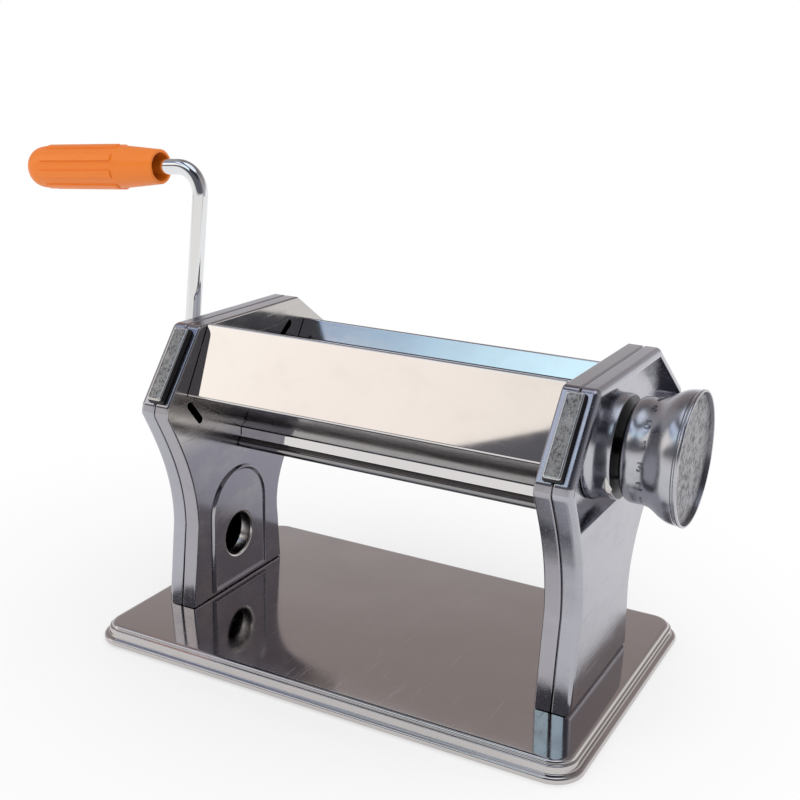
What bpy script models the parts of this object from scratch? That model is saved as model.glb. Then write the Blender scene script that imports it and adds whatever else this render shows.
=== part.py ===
"""Clay press machine: a hand-cranked press that rolls modelling clay into sheets.

Metres, +Z up, +X towards the thickness knob and -Y towards the front.
The base plate is drawn about its own middle, with z = 0 at the underside of its rim.
Everything above it is drawn from the plateau that the two side frames stand on.
"""

import math

import bmesh
import bpy
from mathutils import Matrix, Vector

MM = 0.001

# Clearances
FIT = 0.3 * MM
OVERRUN = 1.0 * MM
ROLLER_CLEARANCE = 0.8 * MM
GEAR_CLEARANCE = 0.5 * MM

# Facets
ARC_STEPS = 3
CORNER_STEPS = 4
BEND_STEPS = 5
LEG_STEPS = 6
FINE_SIDES = 30
ROUND_SIDES = 24
ROLLER_SIDES = 24
PLAIN_SIDES = 16
SMALL_SIDES = 12
HOLE_SIDES = 8

# Base plate: a pressed tray, open below, that reaches past the side frames' webs
BASE_PAST_WEB = 27.1 * MM
BASE_DEPTH = 130.2 * MM
BASE_HEIGHT = 6.8 * MM
BASE_CORNER_RADIUS = 11.5 * MM
BASE_SHEET = 0.9 * MM
BASE_EDGE_WIDTH = 4.4 * MM
# Each pair is (way in from the rim over the edge width, height over the base height)
BASE_EDGE_SHARES = (
    (0.05, 0.00), (0.00, 0.12), (0.04, 0.27), (0.16, 0.37), (0.40, 0.40), (0.48, 0.44),
    (0.52, 0.62), (0.62, 0.72), (0.82, 0.76), (0.90, 0.84), (0.93, 0.95), (1.00, 1.00),
)
BASE_INSIDE_SHARES = ((0.04, 0.27), (0.40, 0.40), (0.52, 0.62), (0.82, 0.76), (1.00, 1.00))

RUBBER_FOOT_RADIUS = 6.6 * MM
RUBBER_FOOT_TREAD_RADIUS = 5.6 * MM
RUBBER_FOOT_PROUD = 1.0 * MM
RUBBER_FOOT_INSET = 12.0 * MM

BASE_SCREW_RADIUS = 1.4 * MM
BASE_SCREW_REACH = 3.0 * MM
BASE_SCREW_HEAD_RADIUS = 2.8 * MM
BASE_SCREW_HEAD_HEIGHT = 2.0 * MM
BASE_SCREW_FROM_WEB = 2.8 * MM
BASE_SCREW_FROM_TOE = 10.0 * MM

# Side frames: an inner pan and an outer cover, each a pressed pan of one outline
FRAME_SPACING = 150.0 * MM
FRAME_SHEET = 1.0 * MM
INNER_FRAME_DEPTH = 6.35 * MM
COVER_DEPTH = 7.05 * MM
WEB_BEND_RADIUS = 0.8 * MM
COVER_EDGE_RADIUS = 2.5 * MM
SEAM_LIP = 2.0 * MM
SEAM_JOGGLE = 1.2 * MM
HEAD_TOP_Z = 117.7 * MM
HEAD_TOP_FRONT_Y = -25.7 * MM
HEAD_TOP_REAR_Y = 44.2 * MM
FRONT_BROW = (-46.6 * MM, 89.8 * MM)
FRONT_CHIN = (-47.6 * MM, 85.9 * MM)
FRONT_WAIST = (-30.0 * MM, 34.9 * MM)
FRONT_TOE_Y = -33.6 * MM
REAR_BROW = (80.0 * MM, 94.1 * MM)
REAR_CHIN = (81.2 * MM, 89.7 * MM)
REAR_WAIST = (28.1 * MM, 20.9 * MM)
REAR_TOE_Y = 30.0 * MM
HEAD_CORNER_RADIUS = 3.5 * MM
CHIN_CORNER_RADIUS = 3.0 * MM
# Where the two control points of each leg's curve lie between its chin and its waist
FRONT_LEG_SHARES = ((0.48, 0.29), (1.00, 0.61))
REAR_LEG_SHARES = ((0.475, 0.33), (1.10, 0.565))

# Cast pad that bridges the seam on the front slope of each head
PAD_START_SHARE = 0.06
PAD_END_SHARE = 0.98
PAD_FROM_WEB = 2.4 * MM
PAD_WIDTH = 7.6 * MM
PAD_HEIGHT = 2.9 * MM
PAD_DRAFT = 0.7 * MM
PAD_CORNER_RADIUS = 1.2 * MM
PAD_CORNER_STEPS = 2

# Arch pressed into each inner frame's leg, with the flanged hole for a table clamp
ARCH_Y = -1.8 * MM
ARCH_HALF_WIDTH = 19.0 * MM
ARCH_TOP_Z = 53.1 * MM
ARCH_BOTTOM_Z = 1.4 * MM
ARCH_RISE = 1.2 * MM
ARCH_STEPS = 10
CLAMP_HOLE = (-2.3 * MM, 22.4 * MM)
CLAMP_HOLE_RADIUS = 9.2 * MM
CLAMP_FLANGE_SHEET = 1.2 * MM
CLAMP_FLANGE_DEPTH = 4.0 * MM
COVER_HOLE_RADIUS = 7.0 * MM

# Pocket pressed into the right cover's head, with sloping walls, that the knob's collar stands in
POCKET_DEPTH = 5.8 * MM
POCKET_INSET = 3.4 * MM
POCKET_DRAFT = 0.2 * MM
POCKET_BOTTOM_Z = 67.0 * MM

# Slots through the webs, each from one end's middle to the other's
FRONT_SLOT = ((-33.3 * MM, 87.2 * MM), (-27.2 * MM, 80.0 * MM))
REAR_SLOT = ((37.3 * MM, 107.1 * MM), (31.7 * MM, 103.2 * MM))
SLOT_WIDTH = 3.2 * MM

# Rollers
ROLLER_RADIUS = 12.5 * MM
ROLLER_END_GAP = 0.6 * MM
ROLLER_CHAMFER = 0.5 * MM
ROLLER_AXIS_Z = 93.4 * MM
ADJUSTER_Y = -6.0 * MM
ECCENTRICITY = 1.0 * MM
NIP_OPEN = 2.3 * MM
JOURNAL_RADIUS = 7.0 * MM
JOURNAL_STICK_OUT = 2.2 * MM
STUB_DEPTH = 22.0 * MM

# Shaft with its two eccentrics, which runs through the hollow front roller
SHAFT_RADIUS = 3.0 * MM
ECCENTRIC_SHOULDER = 0.2 * MM
BUSH_LENGTH = 12.0 * MM
BUSH_WALL = 1.7 * MM
BUSH_SEAT_DEPTH = 14.4 * MM
ROLLER_CORE_RADIUS = 5.5 * MM
SLEEVE_WALL = 1.5 * MM
BEARING_WALL = 1.5 * MM
BEARING_FLANGE_WIDTH = 2.0 * MM
BEARING_FLANGE_DEPTH = 1.4 * MM
END_CUP_LENGTH = 3.0 * MM
END_CUP_FLOOR = 1.0 * MM

# Gears: long teeth that stay in mesh while the front roller shifts
GEAR_TEETH = 12
GEAR_TIP_RADIUS = 14.3 * MM
GEAR_ROOT_RADIUS = 10.6 * MM
GEAR_TIP_WIDTH = 1.2 * MM
GEAR_ROOT_WIDTH = 2.4 * MM
GEAR_WIDTH = 4.8 * MM
GEAR_LEAD = 0.5 * MM

# Cross bars, with turned-down ends that take hex nuts behind the webs
GUIDE_BAR_RADIUS = 2.3 * MM
GUIDE_BAR_Y = 0.5 * MM
GUIDE_BAR_Z = 63.0 * MM
EXIT_WIDTH = 8.5 * MM
TIE_ROD_RADIUS = 3.0 * MM
FRONT_TIE_ROD_Y = -27.5 * MM
REAR_TIE_ROD = (54.0 * MM, 92.9 * MM)
SPIGOT_RADIUS = 1.7 * MM
NUT_ACROSS_FLATS = 7.0 * MM
NUT_THICKNESS = 3.2 * MM
SPIGOT_PAST_NUT = 0.5 * MM

# Folded hoods and the scrapers inside them
HOOD_SHEET = 0.8 * MM
HOOD_BEND_RADIUS = 1.0 * MM
FRONT_APEX = (-20.3 * MM, 118.8 * MM)
FRONT_BEND = (-35.1 * MM, 91.7 * MM)
HOOD_PANEL_END_Z = 69.7 * MM
HOPPER_LIP_ANGLE = math.radians(114.0)
REAR_LIP_ANGLE = math.radians(8.0)
REAR_KICK = (43.0 * MM, 97.6 * MM)
REAR_APEX = (49.4 * MM, 107.8 * MM)
REAR_BEND = (72.0 * MM, 91.4 * MM)
SCRAPER_SHEET = 0.8 * MM
SCRAPER_ANGLE = math.radians(62.0)
FRONT_SCRAPER_SHARES = (0.35, 0.91)
REAR_SCRAPER_SHARES = (0.62, 0.95)

# Knob side
COLLAR_PROUD = 4.3 * MM
COLLAR_RADIUS = 20.3 * MM
COLLAR_WALL = 1.3 * MM
COLLAR_HUB_WALL = 2.6 * MM
# Each pair is (way along the collar, radius over its largest)
COLLAR_SHARES = (
    (0.00, 0.985), (0.06, 1.000), (0.18, 0.985), (0.34, 0.945), (0.52, 0.928), (0.94, 0.925), (1.00, 0.900),
)
POINTER_ANGLE = math.radians(225.0)
POINTER_WIDTH = 3.4 * MM
POINTER_LENGTH = 8.4 * MM
POINTER_HEIGHT = 1.2 * MM
POINTER_SHARE = 0.80
INDEX_RADIUS = 12.8 * MM
INDEX_PIN_RADIUS = 1.1 * MM
INDEX_PIN_ROOT = 1.0 * MM
INDEX_COUNT = 9
INDEX_HOLE_DEPTH = 2.4 * MM
KNOB_GAP = 2.4 * MM
KNOB_LENGTH = 21.8 * MM
KNOB_RADIUS = 23.9 * MM
KNOB_WALL = 1.6 * MM
KNOB_PLATE = 3.2 * MM
KNOB_RIM_WALL = 0.9 * MM
KNOB_RECESS = 1.5 * MM
KNOB_DISC_THICKNESS = 1.2 * MM
# Each pair is (way along the knob, radius over its largest)
KNOB_SHARES = (
    (0.000, 0.690), (0.028, 0.735), (0.073, 0.770), (0.190, 0.785), (0.325, 0.785),
    (0.440, 0.810), (0.555, 0.870), (0.670, 0.935), (0.785, 0.975), (0.900, 0.987),
    (0.930, 0.970), (0.963, 1.000), (1.000, 1.000),
)
KNOB_TURN = math.radians(180.0)
KNOB_PULL = 4.0 * MM
SPRING_LENGTH = 4.6 * MM
SPRING_RADIUS = 5.0 * MM
SPRING_WIRE_RADIUS = 0.5 * MM
SPRING_TURNS = 3
SPRING_STEPS = 10
SPRING_SIDES = 4
KNOB_NUT_ACROSS_FLATS = 9.0 * MM
KNOB_NUT_THICKNESS = 2.0 * MM
SHAFT_PAST_NUT = 0.5 * MM

# Crank
ROD_RADIUS = 3.4 * MM
ROD_BEND_RADIUS = 12.0 * MM
ROD_SIDES = 14
ARM_FROM_FACE = 26.9 * MM
ARM_LENGTH = 79.5 * MM
ARM_LEAN = math.radians(7.4)
HANDLE_DROOP = math.radians(4.0)
GRIP_START = 22.0 * MM
GRIP_LENGTH = 73.4 * MM
GRIP_RADIUS = 9.5 * MM
GRIP_MOUTH_RADIUS = 7.6 * MM
GRIP_MOUTH_BORE = 6.0 * MM
GRIP_MOUTH_DEPTH = 13.0 * MM
GRIP_END_WALL = 9.4 * MM
GRIP_RIBS = 8
GRIP_RIB_HEIGHT = 0.75 * MM
GRIP_RIB_START = 21.3 * MM
GRIP_RIB_FROM_DOME = 3.1 * MM
GRIP_RIB_RAMP = 0.4 * MM
GRIP_DOME_LENGTH = 7.5 * MM
GRIP_DOME_STEPS = 3
GRIP_DOME_TURN = math.radians(72.0)
# Half the width of a rib's top and of its foot, over the pitch of the ribs
GRIP_RIB_TOP_SHARE = 0.20
GRIP_RIB_FOOT_SHARE = 0.24
GRIP_WASHER_AT = 8.0 * MM
GRIP_WASHER_THICKNESS = 1.4 * MM
GRIP_WASHER_RADIUS = 5.2 * MM

# Places worked out from the sizes above
BASE_LENGTH = FRAME_SPACING + 2 * BASE_PAST_WEB
LEVEL_Z = BASE_HEIGHT + FIT
WEB_X = FRAME_SPACING / 2
CAVITY_X = WEB_X + FRAME_SHEET
SEAM_X = WEB_X + INNER_FRAME_DEPTH
COVER_X = SEAM_X + FIT
FACE_X = COVER_X + COVER_DEPTH
COVER_INSIDE_X = FACE_X - FRAME_SHEET
POCKET_X = FACE_X - POCKET_DEPTH
ROLLER_END_X = WEB_X - ROLLER_END_GAP
BEARING_END_X = CAVITY_X + FIT + BEARING_FLANGE_DEPTH
GEAR_X = BEARING_END_X + GEAR_CLEARANCE
GEAR_END_X = GEAR_X + GEAR_WIDTH
FRONT_AXIS_Y = ADJUSTER_Y - ECCENTRICITY
DRIVE_Y = FRONT_AXIS_Y + 2 * ROLLER_RADIUS + NIP_OPEN
REAR_BAR_Y = GUIDE_BAR_Y + 2 * GUIDE_BAR_RADIUS + EXIT_WIDTH
ECCENTRIC_RADIUS = SHAFT_RADIUS + ECCENTRICITY + ECCENTRIC_SHOULDER
BUSH_BORE = ECCENTRIC_RADIUS + FIT
BUSH_RADIUS = BUSH_BORE + BUSH_WALL
BUSH_SEAT_RADIUS = BUSH_RADIUS + FIT
BUSH_SEAT_X = ROLLER_END_X - BUSH_SEAT_DEPTH
BUSH_X = BUSH_SEAT_X + FIT
SLEEVE_RADIUS = BUSH_SEAT_RADIUS + SLEEVE_WALL
COLLAR_X = POCKET_X + FIT
COLLAR_END_X = FACE_X + COLLAR_PROUD
COLLAR_LENGTH = COLLAR_END_X - COLLAR_X
KNOB_X = COLLAR_END_X + KNOB_GAP
KNOB_END_X = KNOB_X + KNOB_LENGTH
KNOB_DISC_X = KNOB_END_X - KNOB_RECESS - KNOB_DISC_THICKNESS
KNOB_DISC_RADIUS = KNOB_RADIUS - KNOB_RIM_WALL - FIT
SPRING_X = KNOB_X + KNOB_PLATE + KNOB_PULL + 3 * FIT
SPRING_END_X = SPRING_X + SPRING_LENGTH
KNOB_NUT_X = SPRING_END_X + FIT
SHAFT_END_X = KNOB_NUT_X + KNOB_NUT_THICKNESS + SHAFT_PAST_NUT
END_CUP_X = COVER_INSIDE_X - FIT - END_CUP_LENGTH
ROD_BORE = ROD_RADIUS + FIT
ARM_X = FACE_X + ARM_FROM_FACE
GRIP_BORE_DEPTH = GRIP_LENGTH - GRIP_END_WALL
JOURNAL_END_X = FACE_X + JOURNAL_STICK_OUT

MATERIALS = {
    "mirror_sheet": ((0.62, 0.62, 0.64), 0.08, 1.0),
    "satin_steel": ((0.50, 0.50, 0.52), 0.28, 1.0),
    "turned_steel": ((0.58, 0.58, 0.60), 0.18, 1.0),
    "dark_steel": ((0.20, 0.20, 0.22), 0.35, 1.0),
    "zinc_plate": ((0.46, 0.47, 0.50), 0.40, 1.0),
    "brass": ((0.62, 0.46, 0.20), 0.35, 1.0),
    "white_nylon": ((0.82, 0.82, 0.78), 0.45, 0.0),
    "black_rubber": ((0.02, 0.02, 0.02), 0.80, 0.0),
    "orange_plastic": ((0.90, 0.25, 0.03), 0.40, 0.0),
}


# Outlines in the (y, z) plane

def rounded(corners, closed=True):
    """Outline through (y, z, radius) corners, with an arc in place of each corner that has a radius."""
    outline = []
    count = len(corners)
    for index, (y, z, radius) in enumerate(corners):
        here = Vector((y, z))
        if radius == 0 or (not closed and index in (0, count - 1)):
            outline.append(here)
            continue
        before = (Vector(corners[index - 1][:2]) - here).normalized()
        after = (Vector(corners[(index + 1) % count][:2]) - here).normalized()
        half = before.angle(after) / 2
        centre = here + (before + after).normalized() * (radius / math.sin(half))
        start = here + before * (radius / math.tan(half)) - centre
        end = here + after * (radius / math.tan(half)) - centre
        sweep = math.atan2(start.x * end.y - start.y * end.x, start.dot(end))
        for step in range(ARC_STEPS + 1):
            outline.append(centre + Matrix.Rotation(sweep * step / ARC_STEPS, 2) @ start)
    return outline


def shifted(outline, distance, closed=True):
    """The outline moved sideways, to the left of its own direction for a positive distance."""
    count = len(outline)
    moved = []
    for index, here in enumerate(outline):
        normals = []
        if closed or index > 0:
            edge = (here - outline[index - 1]).normalized()
            normals.append(Vector((-edge.y, edge.x)))
        if closed or index < count - 1:
            edge = (outline[(index + 1) % count] - here).normalized()
            normals.append(Vector((-edge.y, edge.x)))
        if len(normals) == 1:
            moved.append(here + normals[0] * distance)
        else:
            spread = 1 + normals[0].dot(normals[1])
            moved.append(here + (normals[0] + normals[1]) * (distance / spread))
    return moved


def curve(start, end, pull_shares, steps):
    """Inner points of a cubic curve; its handles lie at shares of the way in y and in z."""
    start = Vector(start)
    way = Vector(end) - start
    handles = [start + Vector((way.x * share_y, way.y * share_z)) for share_y, share_z in pull_shares]
    points = []
    for step in range(1, steps):
        t = step / steps
        s = 1 - t
        point = start * s ** 3 + handles[0] * (3 * s * s * t) + handles[1] * (3 * s * t * t)
        points.append(point + Vector(end) * t ** 3)
    return points


def beside(start, end, share, distance):
    """The point at a share of the way from start to end, then to the left by a distance."""
    start = Vector(start)
    way = Vector(end) - start
    side = Vector((-way.y, way.x)).normalized()
    return start + way * share + side * distance


def polar(centre, radius, angle):
    """The point at a radius and an angle from a centre, with the angle turning from +Y to +Z."""
    return Vector((centre[0] + radius * math.cos(angle), centre[1] + radius * math.sin(angle)))


def circle(centre, radius, sides):
    """A regular outline round a centre."""
    return [polar(centre, radius, math.tau * side / sides) for side in range(sides)]


def rounded_rectangle(half_x, half_y, radius, steps):
    """Corner arcs of a rectangle about the origin, anticlockwise from its first quarter."""
    outline = []
    for quarter, (side_x, side_y) in enumerate(((1, 1), (-1, 1), (-1, -1), (1, -1))):
        for step in range(steps + 1):
            corner = (side_x * (half_x - radius), side_y * (half_y - radius))
            outline.append(polar(corner, radius, math.pi / 2 * (quarter + step / steps)))
    return outline


def slot(ends, width, steps=4):
    """A straight slot with round ends, between two middles."""
    start, end = Vector(ends[0]), Vector(ends[1])
    way = end - start
    heading = math.atan2(way.y, way.x)
    outline = []
    for centre, first in ((end, heading - math.pi / 2), (start, heading + math.pi / 2)):
        for step in range(steps + 1):
            outline.append(polar(centre, width / 2, first + math.pi * step / steps))
    return outline


# Solids

def loft(rings):
    """A closed solid through rings of equally many points, capped at the first and the last."""
    solid = bmesh.new()
    rows = [[solid.verts.new(point) for point in ring] for ring in rings]
    count = len(rows[0])
    for lower, upper in zip(rows, rows[1:]):
        for index in range(count):
            following = (index + 1) % count
            solid.faces.new((lower[index], lower[following], upper[following], upper[index]))
    solid.faces.new(rows[0])
    solid.faces.new(rows[-1])
    bmesh.ops.recalc_face_normals(solid, faces=solid.faces)
    return solid


def ring_at(outline, x):
    """An outline of (y, z) points as a ring of space points at one x."""
    return [(x, point[0], point[1]) for point in outline]


def prism(outline, x_start, x_end):
    """A solid with one outline all along X."""
    return loft([ring_at(outline, x_start), ring_at(outline, x_end)])


def turned(profile, sides, closed=False):
    """A solid turned about the X axis from (x, radius) points; a closed profile keeps a bore."""
    solid = bmesh.new()
    points = [solid.verts.new((x, 0, radius)) for x, radius in profile]
    edges = [solid.edges.new(pair) for pair in zip(points, points[1:])]
    if closed:
        edges.append(solid.edges.new((points[-1], points[0])))
    bmesh.ops.spin(
        solid, geom=points + edges, axis=(1, 0, 0), cent=(0, 0, 0), angle=math.tau, steps=sides,
        use_merge=True, use_duplicate=False,
    )
    bmesh.ops.remove_doubles(solid, verts=solid.verts, dist=FIT / 100)
    bmesh.ops.recalc_face_normals(solid, faces=solid.faces)
    return solid


def spun(solid, axis, angle):
    """A solid turned about one axis through the origin."""
    bmesh.ops.rotate(solid, verts=solid.verts, cent=(0, 0, 0), matrix=Matrix.Rotation(angle, 3, axis))
    return solid


def upright(solid):
    """A solid drawn along X, turned so that its +X points up."""
    return spun(solid, "Y", -math.pi / 2)


def moved(solid, offset):
    """A solid shifted by an offset."""
    bmesh.ops.translate(solid, verts=solid.verts, vec=offset)
    return solid


def scratch_object(solid):
    """A short-lived object that a Boolean needs."""
    mesh = bpy.data.meshes.new("scratch")
    solid.to_mesh(mesh)
    solid.free()
    thing = bpy.data.objects.new("scratch", mesh)
    bpy.context.scene.collection.objects.link(thing)
    return thing


def combined(solid, tools, operation):
    """The solid after a Boolean with each tool in turn."""
    body = scratch_object(solid)
    helpers = [scratch_object(tool) for tool in tools]
    for helper in helpers:
        step = body.modifiers.new("combine", "BOOLEAN")
        step.operation = operation
        step.solver = "EXACT"
        step.object = helper
    evaluated = body.evaluated_get(bpy.context.evaluated_depsgraph_get())
    result = bmesh.new()
    result.from_mesh(evaluated.data)
    for thing in [body] + helpers:
        mesh = thing.data
        bpy.data.objects.remove(thing)
        bpy.data.meshes.remove(mesh)
    bmesh.ops.remove_doubles(result, verts=result.verts, dist=FIT / 100)
    bmesh.ops.dissolve_degenerate(result, edges=result.edges, dist=FIT / 100)
    return result


def cut(solid, *tools):
    """The solid with each tool taken away from it."""
    return combined(solid, tools, "DIFFERENCE")


def joined(solid, *tools):
    """The solid with each tool added to it."""
    return combined(solid, tools, "UNION")


# Objects

def material(name):
    """The named material, made once."""
    found = bpy.data.materials.get(name)
    if found:
        return found
    colour, roughness, metallic = MATERIALS[name]
    made = bpy.data.materials.new(name)
    made.use_nodes = True
    shader = made.node_tree.nodes["Principled BSDF"]
    shader.inputs["Base Color"].default_value = (*colour, 1)
    shader.inputs["Roughness"].default_value = roughness
    shader.inputs["Metallic"].default_value = metallic
    return made


def empty(name, parent=None, location=(0, 0, 0), rotation=(0, 0, 0)):
    """A named frame that pieces are placed under."""
    frame = bpy.data.objects.new(name, None)
    frame.parent = parent
    frame.location = location
    frame.rotation_euler = rotation
    bpy.context.scene.collection.objects.link(frame)
    return frame


def piece(name, solid, material_name, parent, location=(0, 0, 0)):
    """One sub-part with its material, placed under its parent."""
    mesh = bpy.data.meshes.new(name)
    solid.to_mesh(mesh)
    solid.free()
    mesh.shade_smooth()
    mesh.set_sharp_from_angle(angle=math.radians(30))
    mesh.materials.append(material(material_name))
    thing = bpy.data.objects.new(name, mesh)
    thing.parent = parent
    thing.location = location
    bpy.context.scene.collection.objects.link(thing)
    return thing


# Base

def base_ring(inset, z):
    """The base's outline drawn in by an inset, at one height."""
    outline = rounded_rectangle(
        BASE_LENGTH / 2 - inset, BASE_DEPTH / 2 - inset, BASE_CORNER_RADIUS - inset, CORNER_STEPS,
    )
    return [(x, y, z) for x, y in outline]


def base_screw_places():
    """Middle of each base screw, two under each side frame."""
    across = WEB_X + BASE_SCREW_FROM_WEB
    rows = (FRONT_TOE_Y + BASE_SCREW_FROM_TOE, REAR_TOE_Y - BASE_SCREW_FROM_TOE)
    return [(side * across, y) for side in (-1, 1) for y in rows]


def base_plate(machine):
    """The stepped tray: its skin goes down the inside and comes up the outside."""
    inside = [
        base_ring(share * BASE_EDGE_WIDTH + BASE_SHEET, height * BASE_HEIGHT - BASE_SHEET)
        for share, height in reversed(BASE_INSIDE_SHARES)
    ]
    inside.append(base_ring(BASE_INSIDE_SHARES[0][0] * BASE_EDGE_WIDTH + BASE_SHEET, 0))
    outside = [base_ring(share * BASE_EDGE_WIDTH, height * BASE_HEIGHT) for share, height in BASE_EDGE_SHARES]
    tray = loft(inside + outside)
    drills = []
    for x, y in base_screw_places():
        profile = ((0, 0), (0, BASE_SCREW_RADIUS + FIT), (BASE_HEIGHT * 2, BASE_SCREW_RADIUS + FIT))
        drill = upright(turned(profile + ((BASE_HEIGHT * 2, 0),), HOLE_SIDES))
        drills.append(moved(drill, (x, y, 0)))
    piece("base_plate", cut(tray, *drills), "mirror_sheet", machine)


def rubber_feet(machine):
    """Four feet stuck under the plateau's corners, standing proud of the rim."""
    underside = BASE_HEIGHT - BASE_SHEET - FIT
    profile = (
        (-RUBBER_FOOT_PROUD, 0), (-RUBBER_FOOT_PROUD, RUBBER_FOOT_TREAD_RADIUS),
        (0, RUBBER_FOOT_RADIUS), (underside, RUBBER_FOOT_RADIUS), (underside, 0),
    )
    across = BASE_LENGTH / 2 - BASE_EDGE_WIDTH - RUBBER_FOOT_INSET
    along = BASE_DEPTH / 2 - BASE_EDGE_WIDTH - RUBBER_FOOT_INSET
    for side, side_name in ((-1, "left"), (1, "right")):
        for end, end_name in ((-1, "front"), (1, "rear")):
            foot = upright(turned(profile, SMALL_SIDES))
            place = (side * across, end * along, 0)
            piece(f"rubber_foot_{side_name}_{end_name}", foot, "black_rubber", machine, place)


def base_screws(machine):
    """Screws that come up through the plateau into the frames' feet."""
    seat = BASE_HEIGHT - BASE_SHEET - FIT
    tip = LEVEL_Z + FRAME_SHEET + BASE_SCREW_REACH
    profile = (
        (seat - BASE_SCREW_HEAD_HEIGHT, 0), (seat - BASE_SCREW_HEAD_HEIGHT, BASE_SCREW_HEAD_RADIUS / 2),
        (seat - BASE_SCREW_HEAD_HEIGHT / 2, BASE_SCREW_HEAD_RADIUS), (seat, BASE_SCREW_HEAD_RADIUS),
        (seat, BASE_SCREW_RADIUS), (tip - BASE_SCREW_RADIUS, BASE_SCREW_RADIUS), (tip, 0),
    )
    for index, (x, y) in enumerate(base_screw_places(), start=1):
        screw = upright(turned(profile, HOLE_SIDES))
        piece(f"base_screw_{index}", screw, "zinc_plate", machine, (x, y, 0))


# Side frames

def frame_corners():
    """Corners and their radii in the frames' side view, from the front toe over the head to the rear toe."""
    front_shares = [(1 - share_y, 1 - share_z) for share_y, share_z in reversed(FRONT_LEG_SHARES)]
    front_leg = curve(FRONT_WAIST, FRONT_CHIN, front_shares, LEG_STEPS)
    rear_leg = curve(REAR_CHIN, REAR_WAIST, REAR_LEG_SHARES, LEG_STEPS)
    corners = [(FRONT_TOE_Y, 0, 0), (*FRONT_WAIST, 0)]
    corners += [(*point, 0) for point in front_leg]
    corners += [
        (*FRONT_CHIN, CHIN_CORNER_RADIUS), (*FRONT_BROW, HEAD_CORNER_RADIUS),
        (HEAD_TOP_FRONT_Y, HEAD_TOP_Z, HEAD_CORNER_RADIUS), (HEAD_TOP_REAR_Y, HEAD_TOP_Z, HEAD_CORNER_RADIUS),
        (*REAR_BROW, HEAD_CORNER_RADIUS), (*REAR_CHIN, CHIN_CORNER_RADIUS),
    ]
    corners += [(*point, 0) for point in rear_leg]
    return corners + [(*REAR_WAIST, 0), (REAR_TOE_Y, 0, 0)]


def frame_outline():
    """The frames' side view with its corners rounded."""
    return rounded(frame_corners())


def pocket_outline(inset):
    """The head's part of the frames' side view, sharp-cornered and drawn in by an inset."""
    corners = [Vector(corner[:2]) for corner in frame_corners()]
    outline = []
    for here, after in zip(corners, corners[1:]):
        if here.y > POCKET_BOTTOM_Z:
            outline.append(here)
        if (here.y > POCKET_BOTTOM_Z) != (after.y > POCKET_BOTTOM_Z):
            outline.append(here.lerp(after, (POCKET_BOTTOM_Z - here.y) / (after.y - here.y)))
    return shifted(outline, -inset)


def pan(side, steps):
    """A pan lofted through (inset, x) steps of the frame's outline, on one side of the machine."""
    outline = frame_outline()
    return loft([ring_at(shifted(outline, -inset), side * x) for inset, x in steps])


def pocket(sheet, x_end):
    """What the right cover's pocket takes up, thickened by a sheet, out to a distance."""
    floor = POCKET_INSET + POCKET_DRAFT - sheet
    return loft([
        ring_at(pocket_outline(floor), POCKET_X - sheet),
        ring_at(pocket_outline(POCKET_INSET - sheet), x_end),
    ])


def hole_tool(side, centre, radius, x_start, x_end, sides=PLAIN_SIDES):
    """A round tool along X between two distances from the machine's middle."""
    return prism(circle(centre, radius, sides), side * x_start, side * x_end)


def head_pad(side, body):
    """The pad that lies on the front slope, across the seam, with drafted sides."""
    top = Vector((HEAD_TOP_FRONT_Y, HEAD_TOP_Z))
    slope = Vector(FRONT_BROW) - top
    length = slope.length * (PAD_END_SHARE - PAD_START_SHARE)
    middle_share = (PAD_START_SHARE + PAD_END_SHARE) / 2
    middle_x = WEB_X + PAD_FROM_WEB + PAD_WIDTH / 2
    rings = []
    for height, inset in ((FIT, 0), (PAD_HEIGHT - FIT, PAD_DRAFT), (PAD_HEIGHT, PAD_DRAFT + FIT)):
        outline = rounded_rectangle(
            PAD_WIDTH / 2 - inset, length / 2 - inset, PAD_CORNER_RADIUS - inset / 2, PAD_CORNER_STEPS,
        )
        ring = []
        for across, along in outline:
            place = beside(top, FRONT_BROW, middle_share + along / slope.length, -height)
            ring.append((side * (middle_x + across), *place))
        rings.append(ring)
    name = "left_head_pad" if side < 0 else "right_head_pad"
    piece(name, loft(rings), "dark_steel", body)


def arch(side):
    """The raised arch on the leg's inner side, with sloping borders."""
    springing = ARCH_TOP_Z - ARCH_HALF_WIDTH
    outline = [Vector((ARCH_Y + end * ARCH_HALF_WIDTH, ARCH_BOTTOM_Z)) for end in (-1, 1)]
    for step in range(ARCH_STEPS + 1):
        outline.append(polar((ARCH_Y, springing), ARCH_HALF_WIDTH, math.pi * step / ARCH_STEPS))
    return loft([
        ring_at(outline, side * (WEB_X + FRAME_SHEET / 2)),
        ring_at(outline, side * WEB_X),
        ring_at(shifted(outline, ARCH_RISE), side * (WEB_X - ARCH_RISE)),
    ])


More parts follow.
